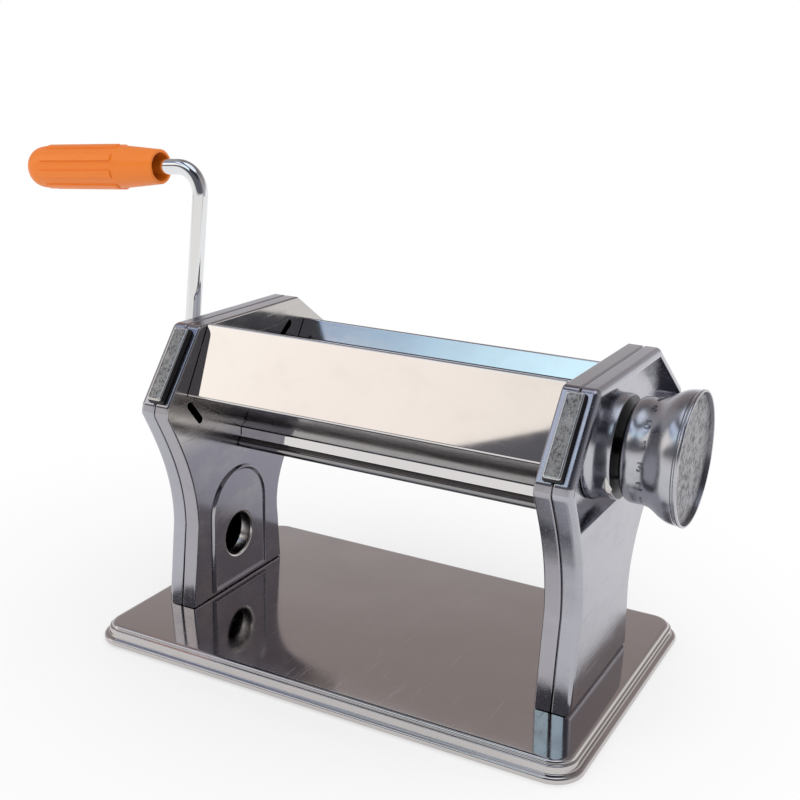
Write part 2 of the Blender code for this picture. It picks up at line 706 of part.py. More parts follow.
def inner_frame(side, body):
    """The pan that faces the rollers, with a joggled lip that enters the cover."""
    lip_inset = FRAME_SHEET + FIT
    frame = pan(side, (
        (FRAME_SHEET, CAVITY_X), (FRAME_SHEET, SEAM_X - SEAM_JOGGLE - FRAME_SHEET),
        (lip_inset + FRAME_SHEET, SEAM_X - FRAME_SHEET), (lip_inset + FRAME_SHEET, COVER_X + SEAM_LIP),
        (lip_inset, COVER_X + SEAM_LIP), (lip_inset, SEAM_X), (0, SEAM_X), (0, WEB_X + WEB_BEND_RADIUS),
        (WEB_BEND_RADIUS / 3, WEB_X + WEB_BEND_RADIUS / 3), (WEB_BEND_RADIUS, WEB_X),
    ))
    flange_radius = CLAMP_HOLE_RADIUS + CLAMP_FLANGE_SHEET
    flange_end = CAVITY_X + CLAMP_FLANGE_DEPTH
    flange = hole_tool(side, CLAMP_HOLE, flange_radius, WEB_X + FRAME_SHEET / 2, flange_end, ROUND_SIDES)
    frame = joined(frame, arch(side), flange)
    near = WEB_X - ARCH_RISE - OVERRUN
    far = CAVITY_X + OVERRUN
    adjuster_hole = SLEEVE_RADIUS + ECCENTRICITY + FIT if side < 0 else SHAFT_RADIUS + 2 * FIT + BEARING_WALL
    tools = [
        hole_tool(side, CLAMP_HOLE, CLAMP_HOLE_RADIUS, near, far + CLAMP_FLANGE_DEPTH, ROUND_SIDES),
        hole_tool(side, (ADJUSTER_Y, ROLLER_AXIS_Z), adjuster_hole, near, far),
        hole_tool(side, (DRIVE_Y, ROLLER_AXIS_Z), JOURNAL_RADIUS + 2 * FIT + BEARING_WALL, near, far),
        prism(slot(FRONT_SLOT, SLOT_WIDTH), side * near, side * far),
        prism(slot(REAR_SLOT, SLOT_WIDTH), side * near, side * far),
    ]
    for centre in cross_bar_places().values():
        tools.append(hole_tool(side, centre, SPIGOT_RADIUS + FIT, near, far, HOLE_SIDES))
    for x, y in base_screw_places():
        if x * side > 0:
            hole = BASE_SCREW_RADIUS + FIT
            top = FRAME_SHEET + OVERRUN
            profile = ((-OVERRUN, 0), (-OVERRUN, hole), (top, hole), (top, 0))
            tools.append(moved(upright(turned(profile, HOLE_SIDES)), (x, y, 0)))
    name = "left_inner_frame" if side < 0 else "right_inner_frame"
    piece(name, cut(frame, *tools), "mirror_sheet", body)


def outer_cover(side, body):
    """The cover pan, with a rolled outer edge and the holes that its side needs."""
    def edge(radius, steps):
        turns = [math.pi / 2 * step / steps for step in range(steps + 1)]
        inset = COVER_EDGE_RADIUS
        middle = FACE_X - COVER_EDGE_RADIUS
        return [(inset - radius * math.cos(turn), middle + radius * math.sin(turn)) for turn in turns]

    inside = list(reversed(edge(COVER_EDGE_RADIUS - FRAME_SHEET, 1)))
    cover = pan(side, inside + [(FRAME_SHEET, COVER_X), (0, COVER_X)] + edge(COVER_EDGE_RADIUS, 4))
    near = COVER_INSIDE_X - OVERRUN
    far = FACE_X + OVERRUN
    if side < 0:
        bush_hole = JOURNAL_RADIUS + 2 * FIT + BEARING_WALL
        tools = [
            hole_tool(side, (DRIVE_Y, ROLLER_AXIS_Z), bush_hole, near, far),
            hole_tool(side, CLAMP_HOLE, COVER_HOLE_RADIUS, near, far, ROUND_SIDES),
        ]
        name = "left_outer_cover"
    else:
        cover = joined(cover, pocket(FRAME_SHEET, FACE_X - FRAME_SHEET / 2))
        near = POCKET_X - FRAME_SHEET - OVERRUN
        tools = [pocket(0, far), hole_tool(side, (ADJUSTER_Y, ROLLER_AXIS_Z), SHAFT_RADIUS + FIT, near, far)]
        name = "right_outer_cover"
    piece(name, cut(cover, *tools), "satin_steel", body)


# Cross bars

def cross_bar_places():
    """Axis of each bar that ties the two inner frames together."""
    return {
        "front_tie_rod": (FRONT_TIE_ROD_Y, ROLLER_AXIS_Z),
        "rear_tie_rod": REAR_TIE_ROD,
        "front_guide_bar": (GUIDE_BAR_Y, GUIDE_BAR_Z),
        "rear_guide_bar": (REAR_BAR_Y, GUIDE_BAR_Z),
    }


def hex_nut(across_flats, thickness, bore):
    """A nut from x = 0, bored round."""
    blank = prism(circle((0, 0), across_flats / 2 / math.cos(math.pi / 6), 6), 0, thickness)
    return cut(blank, prism(circle((0, 0), bore, HOLE_SIDES), -OVERRUN, thickness + OVERRUN))


def cross_bars(body):
    """Four bars with turned-down ends, and the nut behind each web."""
    shoulder = WEB_X - FIT
    nut_x = CAVITY_X + FIT
    end = nut_x + NUT_THICKNESS + SPIGOT_PAST_NUT
    for name, place in cross_bar_places().items():
        radius = TIE_ROD_RADIUS if name.endswith("tie_rod") else GUIDE_BAR_RADIUS
        profile = (
            (-end, 0), (-end, SPIGOT_RADIUS), (-shoulder, SPIGOT_RADIUS), (-shoulder, radius),
            (shoulder, radius), (shoulder, SPIGOT_RADIUS), (end, SPIGOT_RADIUS), (end, 0),
        )
        piece(name, turned(profile, SMALL_SIDES), "turned_steel", body, (0, *place))
        for side, side_name in ((-1, "left"), (1, "right")):
            nut = hex_nut(NUT_ACROSS_FLATS, NUT_THICKNESS, SPIGOT_RADIUS + FIT)
            start = nut_x if side > 0 else -nut_x - NUT_THICKNESS
            piece(f"{name}_nut_{side_name}", nut, "zinc_plate", body, (start, *place))


# Hoods and scrapers

def folded_sheet(corners, sheet, inward):
    """A sheet of one thickness folded along an open outline; inward is +1 for its left side."""
    outer = rounded(corners, closed=False)
    inner = shifted(outer, inward * sheet, closed=False)
    reach = WEB_X - FIT
    return prism(outer + list(reversed(inner)), -reach, reach)


def front_hood(body):
    """Hopper wall, sloping mirror face, underside panel and the lip that stands on the guide bar."""
    roller = (ADJUSTER_Y, ROLLER_AXIS_Z)
    start = polar(roller, ROLLER_RADIUS + ECCENTRICITY + ROLLER_CLEARANCE, HOPPER_LIP_ANGLE)
    lip = GUIDE_BAR_Z + GUIDE_BAR_RADIUS + FIT
    corners = (
        (*start, 0), (*FRONT_APEX, HOOD_BEND_RADIUS), (*FRONT_BEND, HOOD_BEND_RADIUS),
        (GUIDE_BAR_Y, HOOD_PANEL_END_Z, HOOD_BEND_RADIUS), (GUIDE_BAR_Y, lip, 0),
    )
    piece("front_hood", folded_sheet(corners, HOOD_SHEET, 1), "mirror_sheet", body)


def rear_hood(body):
    """Hopper wall with its kick towards the roller, rear slope, underside panel and lip."""
    start = polar((DRIVE_Y, ROLLER_AXIS_Z), ROLLER_RADIUS + ROLLER_CLEARANCE, REAR_LIP_ANGLE)
    lip = GUIDE_BAR_Z + GUIDE_BAR_RADIUS + FIT
    corners = (
        (*start, 0), (*REAR_KICK, HOOD_BEND_RADIUS), (*REAR_APEX, HOOD_BEND_RADIUS),
        (*REAR_BEND, HOOD_BEND_RADIUS), (REAR_BAR_Y, HOOD_PANEL_END_Z, HOOD_BEND_RADIUS),
        (REAR_BAR_Y, lip, 0),
    )
    piece("rear_hood", folded_sheet(corners, HOOD_SHEET, -1), "mirror_sheet", body)


def scrapers(body):
    """Strips that lie on the hoods' underside panels and reach up to the rollers."""
    above = HOOD_SHEET + FIT
    panel_end = (GUIDE_BAR_Y, HOOD_PANEL_END_Z)
    first, last = (beside(FRONT_BEND, panel_end, share, above) for share in FRONT_SCRAPER_SHARES)
    reach = ROLLER_RADIUS + ECCENTRICITY + ROLLER_CLEARANCE
    tip = polar((ADJUSTER_Y, ROLLER_AXIS_Z), reach, -SCRAPER_ANGLE)
    corners = ((*first, 0), (*last, HOOD_BEND_RADIUS), (*tip, 0))
    piece("front_scraper", folded_sheet(corners, SCRAPER_SHEET, 1), "white_nylon", body)
    panel_end = (REAR_BAR_Y, HOOD_PANEL_END_Z)
    first, last = (beside(REAR_BEND, panel_end, share, -above) for share in REAR_SCRAPER_SHARES)
    tip = polar((DRIVE_Y, ROLLER_AXIS_Z), ROLLER_RADIUS + ROLLER_CLEARANCE, math.pi + SCRAPER_ANGLE)
    corners = ((*first, 0), (*last, HOOD_BEND_RADIUS), (*tip, 0))
    piece("rear_scraper", folded_sheet(corners, SCRAPER_SHEET, -1), "white_nylon", body)


# Bearings

def flanged_bush(bore, inner_x, sleeve_x, flange_x):
    """A bush round the X axis, with its sleeve on one side of its flange."""
    sleeve = bore + BEARING_WALL
    flange = sleeve + BEARING_FLANGE_WIDTH
    profile = (
        (inner_x, bore), (inner_x, sleeve), (sleeve_x, sleeve),
        (sleeve_x, flange), (flange_x, flange), (flange_x, bore),
    )
    return turned(profile, PLAIN_SIDES, closed=True)


def bearings(body):
    """Bushes in the webs, the cup for the shaft's left end and the bush that the crank comes out of."""
    flange_x = CAVITY_X + FIT
    adjuster = (0, ADJUSTER_Y, ROLLER_AXIS_Z)
    drive = (0, DRIVE_Y, ROLLER_AXIS_Z)
    journal_bore = JOURNAL_RADIUS + FIT
    shaft_bore = SHAFT_RADIUS + FIT
    for side, side_name in ((-1, "left"), (1, "right")):
        bush = flanged_bush(journal_bore, side * WEB_X, side * flange_x, side * BEARING_END_X)
        piece(f"rear_roller_bearing_{side_name}", bush, "brass", body, drive)
    bush = flanged_bush(shaft_bore, WEB_X, flange_x, BEARING_END_X)
    piece("right_shaft_bearing", bush, "brass", body, adjuster)
    cup_end = END_CUP_X + END_CUP_LENGTH
    cup_floor = cup_end - END_CUP_FLOOR
    cup = turned((
        (-cup_floor, 0), (-cup_floor, shaft_bore), (-END_CUP_X, shaft_bore),
        (-END_CUP_X, shaft_bore + BEARING_WALL), (-cup_end, shaft_bore + BEARING_WALL), (-cup_end, 0),
    ), PLAIN_SIDES)
    piece("left_shaft_bearing", cup, "brass", body, adjuster)
    outside = -(FACE_X + FIT)
    bush = flanged_bush(journal_bore, OVERRUN - COVER_INSIDE_X, outside, outside - BEARING_FLANGE_DEPTH)
    piece("crank_bush", bush, "turned_steel", body, drive)


# Front roller and what sets its gap

def adjuster_shaft(adjuster):
    """The shaft on its own axis, with an eccentric that carries the bush at each end of the roller."""
    left_end = END_CUP_X + END_CUP_LENGTH - END_CUP_FLOOR - FIT
    profile = (
        (-left_end, 0), (-left_end, SHAFT_RADIUS), (SHAFT_END_X, SHAFT_RADIUS), (SHAFT_END_X, 0),
    )
    shaft = turned(profile, PLAIN_SIDES)
    outline = circle((-ECCENTRICITY, 0), ECCENTRIC_RADIUS, PLAIN_SIDES)
    eccentrics = [prism(outline, side * BUSH_X, side * (BUSH_X + BUSH_LENGTH)) for side in (-1, 1)]
    piece("adjuster_shaft", joined(shaft, *eccentrics), "turned_steel", adjuster)


def roller_bushes(bush_frame):
    """Bushes between the eccentrics and the front roller."""
    for side, side_name in ((-1, "left"), (1, "right")):
        near = side * BUSH_X
        far = side * (BUSH_X + BUSH_LENGTH)
        profile = ((near, BUSH_BORE), (near, BUSH_RADIUS), (far, BUSH_RADIUS), (far, BUSH_BORE))
        piece(f"roller_bush_{side_name}", turned(profile, PLAIN_SIDES, closed=True), "brass", bush_frame)


def front_roller(roller_frame):
    """The hollow roller, whose left sleeve reaches through the web and carries the gear."""
    chamfer_x = ROLLER_END_X - ROLLER_CHAMFER
    chamfer_radius = ROLLER_RADIUS - ROLLER_CHAMFER
    profile = (
        (-GEAR_END_X, BUSH_SEAT_RADIUS), (-GEAR_END_X, SLEEVE_RADIUS), (-ROLLER_END_X, SLEEVE_RADIUS),
        (-ROLLER_END_X, chamfer_radius), (-chamfer_x, ROLLER_RADIUS), (chamfer_x, ROLLER_RADIUS),
        (ROLLER_END_X, chamfer_radius), (ROLLER_END_X, BUSH_SEAT_RADIUS),
        (BUSH_SEAT_X, BUSH_SEAT_RADIUS), (BUSH_SEAT_X, ROLLER_CORE_RADIUS),
        (-BUSH_SEAT_X, ROLLER_CORE_RADIUS), (-BUSH_SEAT_X, BUSH_SEAT_RADIUS),
    )
    piece("front_roller", turned(profile, ROLLER_SIDES, closed=True), "turned_steel", roller_frame)


def gear(bore, phase):
    """A straight gear with tapered teeth, bored for its roller."""
    outline = []
    for tooth in range(GEAR_TEETH):
        middle = math.tau * tooth / GEAR_TEETH + phase
        flank = (
            (GEAR_ROOT_RADIUS, -GEAR_ROOT_WIDTH), (GEAR_TIP_RADIUS, -GEAR_TIP_WIDTH),
            (GEAR_TIP_RADIUS, GEAR_TIP_WIDTH), (GEAR_ROOT_RADIUS, GEAR_ROOT_WIDTH),
        )
        outline += [polar((0, 0), radius, middle + width / 2 / radius) for radius, width in flank]
    blank = prism(outline, -GEAR_END_X, -GEAR_X)
    hole = prism(circle((0, 0), bore, PLAIN_SIDES), -GEAR_END_X - OVERRUN, -GEAR_X + OVERRUN)
    return cut(blank, hole)


def front_gear(roller_frame):
    """Gear on the front roller; it leads a little, to split the play over the roller's travel."""
    phase = 2 * GEAR_LEAD / (GEAR_TIP_RADIUS + GEAR_ROOT_RADIUS)
    piece("front_gear", gear(SLEEVE_RADIUS + FIT, phase), "zinc_plate", roller_frame)


# Rear roller and crank

def rear_roller(drive):
    """The driven roller, with a journal at each end and the bore for the crank in its left one."""
    chamfer_x = ROLLER_END_X - ROLLER_CHAMFER
    chamfer_radius = ROLLER_RADIUS - ROLLER_CHAMFER
    bore_end = JOURNAL_END_X - STUB_DEPTH - FIT
    profile = (
        (-bore_end, 0), (-bore_end, ROD_BORE), (-JOURNAL_END_X, ROD_BORE), (-JOURNAL_END_X, JOURNAL_RADIUS),
        (-ROLLER_END_X, JOURNAL_RADIUS), (-ROLLER_END_X, chamfer_radius), (-chamfer_x, ROLLER_RADIUS),
        (chamfer_x, ROLLER_RADIUS), (ROLLER_END_X, chamfer_radius), (ROLLER_END_X, JOURNAL_RADIUS),
        (BEARING_END_X + JOURNAL_STICK_OUT, JOURNAL_RADIUS), (BEARING_END_X + JOURNAL_STICK_OUT, 0),
    )
    piece("rear_roller", turned(profile, ROLLER_SIDES), "turned_steel", drive)


def rear_gear(drive):
    """Gear on the rear roller's left journal, with a gap facing the front gear's tooth."""
    phase = math.pi + math.pi / GEAR_TEETH
    piece("rear_gear", gear(JOURNAL_RADIUS + FIT, phase), "zinc_plate", drive)


def bend_points(centre, radius, start, turn):
    """Centre line points (x, z) and headings through one bend."""
    points = []
    for step in range(BEND_STEPS + 1):
        angle = start + turn * step / BEND_STEPS
        heading = angle + math.copysign(math.pi / 2, turn)
        points.append((centre[0] + radius * math.cos(angle), centre[1] + radius * math.sin(angle), heading))
    return points


def crank_rod(crank):
    """One bent rod: stub in the roller, arm outside the cover, and the handle that droops a little."""
    stub_x = -(JOURNAL_END_X - STUB_DEPTH)
    foot_centre = (-ARM_X + ROD_BEND_RADIUS, ROD_BEND_RADIUS)
    foot = bend_points(foot_centre, ROD_BEND_RADIUS, -math.pi / 2, -math.pi / 2)
    handle = Vector((-math.cos(HANDLE_DROOP), -math.sin(HANDLE_DROOP)))
    turn = math.pi / 2 + HANDLE_DROOP
    reach = ROD_BEND_RADIUS * math.tan(turn / 2)
    shoulder = (-ARM_X - ROD_BEND_RADIUS, ARM_LENGTH - reach)
    top = bend_points(shoulder, ROD_BEND_RADIUS, 0, turn)
    length = GRIP_START + GRIP_BORE_DEPTH - FIT
    end = Vector((-ARM_X, ARM_LENGTH)) + handle * length
    path = [(stub_x, 0, math.pi)] + foot + top + [(*end, math.pi + HANDLE_DROOP)]
    rings = []
    for x, z, heading in path:
        centre = Vector((x, 0, z))
        across = Vector((-math.sin(heading), 0, math.cos(heading)))
        ring = []
        for side in range(ROD_SIDES):
            angle = math.tau * side / ROD_SIDES
            outward = across * math.cos(angle) + Vector((0, math.sin(angle), 0))
            ring.append(centre + outward * ROD_RADIUS)
        rings.append(ring)
    piece("crank_rod", loft(rings), "turned_steel", crank)


def grip_ring(distance, radius, rib_height=0):
    """A ring across the grip, with the ribs standing up by their height."""
    pitch = math.tau / GRIP_RIBS
    marks = (
        (-GRIP_RIB_FOOT_SHARE, 0), (-GRIP_RIB_TOP_SHARE, rib_height), (GRIP_RIB_TOP_SHARE, rib_height),
        (GRIP_RIB_FOOT_SHARE, 0), (1 / 2, 0),
    )
    ring = []
    for rib in range(GRIP_RIBS):
        for share, height in marks:
            place = polar((0, 0), radius + height, pitch * (rib + share))
            ring.append((-distance, *place))
    return ring


def crank_grip(grip):
    """The moulded grip: open flared mouth, smooth taper, ribbed barrel and domed end."""
    mouth = GRIP_START
    dome_start = mouth + GRIP_LENGTH - GRIP_DOME_LENGTH
    rib_start = mouth + GRIP_RIB_START
    rib_end = dome_start - GRIP_RIB_FROM_DOME
    rings = [
        grip_ring(mouth + GRIP_BORE_DEPTH, ROD_BORE),
        grip_ring(mouth + GRIP_MOUTH_DEPTH, ROD_BORE),
        grip_ring(mouth + GRIP_WASHER_AT + GRIP_WASHER_THICKNESS + FIT, GRIP_WASHER_RADIUS + FIT),
        grip_ring(mouth, GRIP_MOUTH_BORE),
        grip_ring(mouth, GRIP_MOUTH_RADIUS - FIT),
        grip_ring(mouth + FIT, GRIP_MOUTH_RADIUS),
        grip_ring(rib_start, GRIP_RADIUS),
        grip_ring(rib_start + GRIP_RIB_RAMP, GRIP_RADIUS, GRIP_RIB_HEIGHT),
        grip_ring(rib_end - GRIP_RIB_RAMP, GRIP_RADIUS, GRIP_RIB_HEIGHT),
        grip_ring(rib_end, GRIP_RADIUS),
    ]
    for step in range(GRIP_DOME_STEPS + 1):
        turn = GRIP_DOME_TURN * step / GRIP_DOME_STEPS
        along = dome_start + GRIP_DOME_LENGTH * math.sin(turn) / math.sin(GRIP_DOME_TURN)
        rings.append(grip_ring(along, GRIP_RADIUS * math.cos(turn) ** (1 / 2)))
    piece("crank_grip", loft(rings), "orange_plastic", grip)


def grip_washer(grip_line):
    """The ring on the rod, just inside the mouth, that keeps the grip on."""
    near = -(GRIP_START + GRIP_WASHER_AT)
    far = near - GRIP_WASHER_THICKNESS
    profile = ((near, ROD_BORE), (near, GRIP_WASHER_RADIUS), (far, GRIP_WASHER_RADIUS), (far, ROD_BORE))
    piece("grip_washer", turned(profile, PLAIN_SIDES, closed=True), "zinc_plate", grip_line)


# Knob

def knob_collar(body):
    """The flared collar in the right cover's pocket: a cup with a hub round the shaft, and its pointer."""
    outside = [(COLLAR_X + share * COLLAR_LENGTH, radius * COLLAR_RADIUS) for share, radius in COLLAR_SHARES]
    hub = SHAFT_RADIUS + FIT + COLLAR_HUB_WALL
    floor = COLLAR_END_X - COLLAR_WALL
    end_radius = outside[-1][1]
    inside = [
        (COLLAR_END_X, SHAFT_RADIUS + FIT), (COLLAR_X, SHAFT_RADIUS + FIT), (COLLAR_X, hub), (floor, hub),
        (floor, end_radius - COLLAR_WALL), (COLLAR_X, outside[0][1] - COLLAR_WALL),
    ]
    collar = turned(outside + inside, FINE_SIDES, closed=True)
    profile = ((-COLLAR_WALL / 2, 0), (-COLLAR_WALL / 2, POINTER_WIDTH / 2), (POINTER_HEIGHT, 0))
    pointer = turned(profile, 4)
    spun(pointer, "Z", math.pi / 2)
    bmesh.ops.scale(pointer, verts=pointer.verts, vec=(1, 1, POINTER_LENGTH / POINTER_WIDTH))
    moved(pointer, (COLLAR_X + POINTER_SHARE * COLLAR_LENGTH, COLLAR_RADIUS * COLLAR_SHARES[-2][1], 0))
    collar = joined(collar, spun(pointer, "X", POINTER_ANGLE))
    pin_place = polar((0, 0), INDEX_RADIUS, POINTER_ANGLE)
    pin_outline = circle(pin_place, INDEX_PIN_RADIUS + FIT, HOLE_SIDES)
    pin_hole = prism(pin_outline, floor - OVERRUN, COLLAR_END_X + OVERRUN)
    piece("knob_collar", cut(collar, pin_hole), "mirror_sheet", body, (0, ADJUSTER_Y, ROLLER_AXIS_Z))


def index_pin(body):
    """The pin in the collar's face; pushed in, the knob takes it in one of its index holes."""
    place = polar((ADJUSTER_Y, ROLLER_AXIS_Z), INDEX_RADIUS, POINTER_ANGLE)
    start = COLLAR_END_X - INDEX_PIN_ROOT
    tip = KNOB_X - FIT
    taper = INDEX_PIN_RADIUS / 2
    profile = ((start, 0), (start, INDEX_PIN_RADIUS), (tip - taper, INDEX_PIN_RADIUS), (tip, taper), (tip, 0))
    piece("index_pin", turned(profile, SMALL_SIDES), "turned_steel", body, (0, *place))


def knob_profile():
    """The knob's section: outside from its inner face to its lip, then back through its hollow."""
    outside = [(KNOB_X + share * KNOB_LENGTH, radius * KNOB_RADIUS) for share, radius in KNOB_SHARES]
    seat_x = KNOB_DISC_X - FIT
    seat_radius = KNOB_DISC_RADIUS + FIT
    ledge_radius = seat_radius - KNOB_WALL / 2
    plate_x = KNOB_X + KNOB_PLATE
    hollow = [(seat_x, ledge_radius)]
    for x, radius in outside[-2:0:-3]:
        if plate_x < x < seat_x - KNOB_WALL:
            hollow.append((x, min(radius - KNOB_WALL, ledge_radius)))
    bore = SHAFT_RADIUS + FIT
    back = [(KNOB_END_X, seat_radius), (seat_x, seat_radius)] + hollow
    return outside + back + [(plate_x, hollow[-1][1]), (plate_x, bore), (KNOB_X, bore)]


def regulator_knob(knob):
    """The bell-shaped knob, with a ring of index holes in its inner face."""
    body = turned(knob_profile(), FINE_SIDES, closed=True)
    tools = []
    for index in range(INDEX_COUNT):
        place = polar((0, 0), INDEX_RADIUS, POINTER_ANGLE - KNOB_TURN * index / (INDEX_COUNT - 1))
        outline = circle(place, INDEX_PIN_RADIUS + FIT, HOLE_SIDES)
        tools.append(prism(outline, KNOB_X - OVERRUN, KNOB_X + INDEX_HOLE_DEPTH))
    piece("regulator_knob", cut(body, *tools), "mirror_sheet", knob)


def knob_end_disc(knob):
    """The disc that closes the knob's end, sunk behind its lip."""
    end = KNOB_DISC_X + KNOB_DISC_THICKNESS
    profile = ((KNOB_DISC_X, 0), (KNOB_DISC_X, KNOB_DISC_RADIUS), (end, KNOB_DISC_RADIUS), (end, 0))
    piece("knob_end_disc", turned(profile, FINE_SIDES), "dark_steel", knob)


def knob_spring(adjuster):
    """The spring between the knob's plate and its nut, drawn pressed together."""
    start = SPRING_X + SPRING_WIRE_RADIUS
    rise = SPRING_LENGTH - 2 * SPRING_WIRE_RADIUS
    count = SPRING_TURNS * SPRING_STEPS
    rings = []
    for step in range(count + 1):
        angle = math.tau * step / SPRING_STEPS
        outward = Vector((0, math.cos(angle), math.sin(angle)))
        centre = outward * SPRING_RADIUS + Vector((start + rise * step / count, 0, 0))
        ring = []
        for side in range(SPRING_SIDES):
            turn = math.tau * side / SPRING_SIDES
            offset = outward * math.cos(turn) + Vector((math.sin(turn), 0, 0))
            ring.append(centre + offset * SPRING_WIRE_RADIUS)
        rings.append(ring)
    piece("knob_spring", loft(rings), "dark_steel", adjuster)


def knob_nut(adjuster):
    """The nut on the shaft's end that the spring presses on."""
    nut = hex_nut(KNOB_NUT_ACROSS_FLATS, KNOB_NUT_THICKNESS, SHAFT_RADIUS + FIT)
    piece("knob_nut", nut, "zinc_plate", adjuster, (KNOB_NUT_X, 0, 0))


# Assembly

def stand_on_origin(machine):
    """Move the machine so that the middle of its bounding box's underside is the origin."""
    bpy.context.view_layer.update()
    corners = []
    for thing in bpy.context.scene.objects:
        if thing.type == "MESH":
            corners += [thing.matrix_world @ vertex.co for vertex in thing.data.vertices]
    low = Vector([min(corner[axis] for corner in corners) for axis in range(3)])
    high = Vector([max(corner[axis] for corner in corners) for axis in range(3)])
    middle = (low + high) / 2
    machine.location = (-middle.x, -middle.y, -low.z)
    bpy.context.view_layer.update()


def main():
    """Clear the scene and build every piece under its own frame."""
    for thing in list(bpy.data.objects):
        bpy.data.objects.remove(thing)
    machine = empty("machine")
    base_plate(machine)
    rubber_feet(machine)
    base_screws(machine)
    body = empty("body", machine, (0, 0, LEVEL_Z))
    for side in (-1, 1):
        inner_frame(side, body)
        outer_cover(side, body)
        head_pad(side, body)
    cross_bars(body)
    front_hood(body)
    rear_hood(body)
    scrapers(body)
    bearings(body)
    knob_collar(body)
    index_pin(body)
    adjuster = empty("adjuster", body, (0, ADJUSTER_Y, ROLLER_AXIS_Z))
    adjuster_shaft(adjuster)
    knob_spring(adjuster)
    knob_nut(adjuster)
    knob = empty("knob", adjuster)
    regulator_knob(knob)
    knob_end_disc(knob)
    front_axis = empty("front_roller_axis", adjuster, (0, -ECCENTRICITY, 0))
    roller_bushes(front_axis)
    front_roller(front_axis)
    front_gear(front_axis)
    drive = empty("drive", body, (0, DRIVE_Y, ROLLER_AXIS_Z))
    rear_roller(drive)
    rear_gear(drive)
    crank = empty("crank", drive, rotation=(-ARM_LEAN, 0, 0))
    crank_rod(crank)
    grip_line = empty("grip_line", crank, (-ARM_X, 0, ARM_LENGTH), (0, -HANDLE_DROOP, 0))
    grip_washer(grip_line)
    crank_grip(grip_line)
    stand_on_origin(machine)


main()
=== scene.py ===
"""Clay press machine: fine shapes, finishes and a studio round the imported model.

Metres, +Z up, +X towards the thickness knob and -Y towards the front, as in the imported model.
Pieces are drawn in machine space: x and y from the base's middle, z from the plateau's level.
"""

import random
from math import atan2, copysign, cos, pi, radians, sin, tan, tau

import bmesh
import bpy
from mathutils import Matrix, Vector


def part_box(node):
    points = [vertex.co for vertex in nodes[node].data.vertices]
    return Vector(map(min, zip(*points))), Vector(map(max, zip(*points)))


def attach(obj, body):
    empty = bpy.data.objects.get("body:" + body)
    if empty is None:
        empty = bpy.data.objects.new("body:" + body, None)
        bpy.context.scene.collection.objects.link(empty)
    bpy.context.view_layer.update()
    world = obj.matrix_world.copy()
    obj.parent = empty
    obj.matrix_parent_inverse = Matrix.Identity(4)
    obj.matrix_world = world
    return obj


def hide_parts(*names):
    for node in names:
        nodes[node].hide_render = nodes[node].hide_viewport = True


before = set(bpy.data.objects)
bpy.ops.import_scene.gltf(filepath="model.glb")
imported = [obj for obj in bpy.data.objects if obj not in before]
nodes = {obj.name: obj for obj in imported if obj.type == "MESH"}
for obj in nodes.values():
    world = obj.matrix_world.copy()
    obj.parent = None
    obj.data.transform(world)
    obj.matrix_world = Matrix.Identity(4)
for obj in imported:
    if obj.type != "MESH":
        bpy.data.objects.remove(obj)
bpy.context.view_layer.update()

MM = 0.001
FIT = 0.3 * MM

# Base
BASE_PAST_WEB = 27.1 * MM
BASE_DEPTH = 130.2 * MM
BASE_HEIGHT = 6.8 * MM
BASE_CORNER_RADIUS = 11.5 * MM
BASE_SHEET = 0.9 * MM
BASE_EDGE_Z = 0.2 * MM
LEVEL_Z = BASE_HEIGHT + FIT

# Side frames
SIDE_NAMES = {-1: "left", 1: "right"}
WEB_X = 75.0 * MM
SHEET = 1.0 * MM
CAVITY_X = WEB_X + SHEET
SEAM_X = WEB_X + 6.35 * MM
COVER_X = SEAM_X + FIT
FACE_X = COVER_X + 7.05 * MM
COVER_INSIDE_X = FACE_X - SHEET
WEB_BEND = 0.8 * MM
SEAM_ROUND = 0.7 * MM
COVER_EDGE = 2.5 * MM
LIP_STEP = 1.2 * MM
LIP_REACH = 2.0 * MM
CUT_PAST = 3.0 * MM
HEAD_TOP_Z = 117.7 * MM
HEAD_TOP_FRONT_Y = -25.7 * MM
HEAD_TOP_REAR_Y = 44.2 * MM
FRONT_BROW = (-46.6 * MM, 89.8 * MM)
FRONT_CHIN = (-47.6 * MM, 85.9 * MM)
FRONT_WAIST = (-30.0 * MM, 34.9 * MM)
FRONT_TOE_Y = -33.6 * MM
REAR_BROW = (80.0 * MM, 94.1 * MM)
REAR_CHIN = (81.2 * MM, 89.7 * MM)
REAR_WAIST = (28.1 * MM, 20.9 * MM)
REAR_TOE_Y = 30.0 * MM
FRONT_LEG_SHARES = ((0.48, 0.29), (1.00, 0.61))
REAR_LEG_SHARES = ((0.475, 0.33), (1.10, 0.565))
POCKET_DEPTH = 5.8 * MM
POCKET_INSET = 3.4 * MM
POCKET_BOTTOM_Z = 67.0 * MM
POCKET_LIP = 0.5 * MM
POCKET_DRAFT = 0.2 * MM
POCKET_X = FACE_X - POCKET_DEPTH
ARCH_Y = -1.8 * MM
ARCH_HALF_WIDTH = 19.0 * MM
ARCH_TOP_Z = 53.1 * MM
ARCH_BOTTOM_Z = 1.4 * MM
ARCH_RISE = 0.4 * MM
ARCH_SECTION = ((0.0, 0.0), (0.25, 0.55), (0.6, 1.05), (1.0, 1.18), (1.4, 1.0), (1.75, 0.6), (2.1, 0.42),
                (2.6, 0.4))
CLAMP_HOLE = (-2.3 * MM, 22.4 * MM)
CLAMP_HOLE_RADIUS = 9.2 * MM
COVER_HOLE_RADIUS = 7.0 * MM
HOLE_LEAD = 1.1 * MM
FLANGE_WALL = 1.2 * MM
FLANGE_DEPTH = 4.0 * MM
LEFT_SHAFT_HOLE = 9.7 * MM
RIGHT_SHAFT_HOLE = 5.1 * MM
DRIVE_HOLE = 9.1 * MM
FRONT_SLOT = ((-33.3 * MM, 87.2 * MM), (-27.2 * MM, 80.0 * MM))
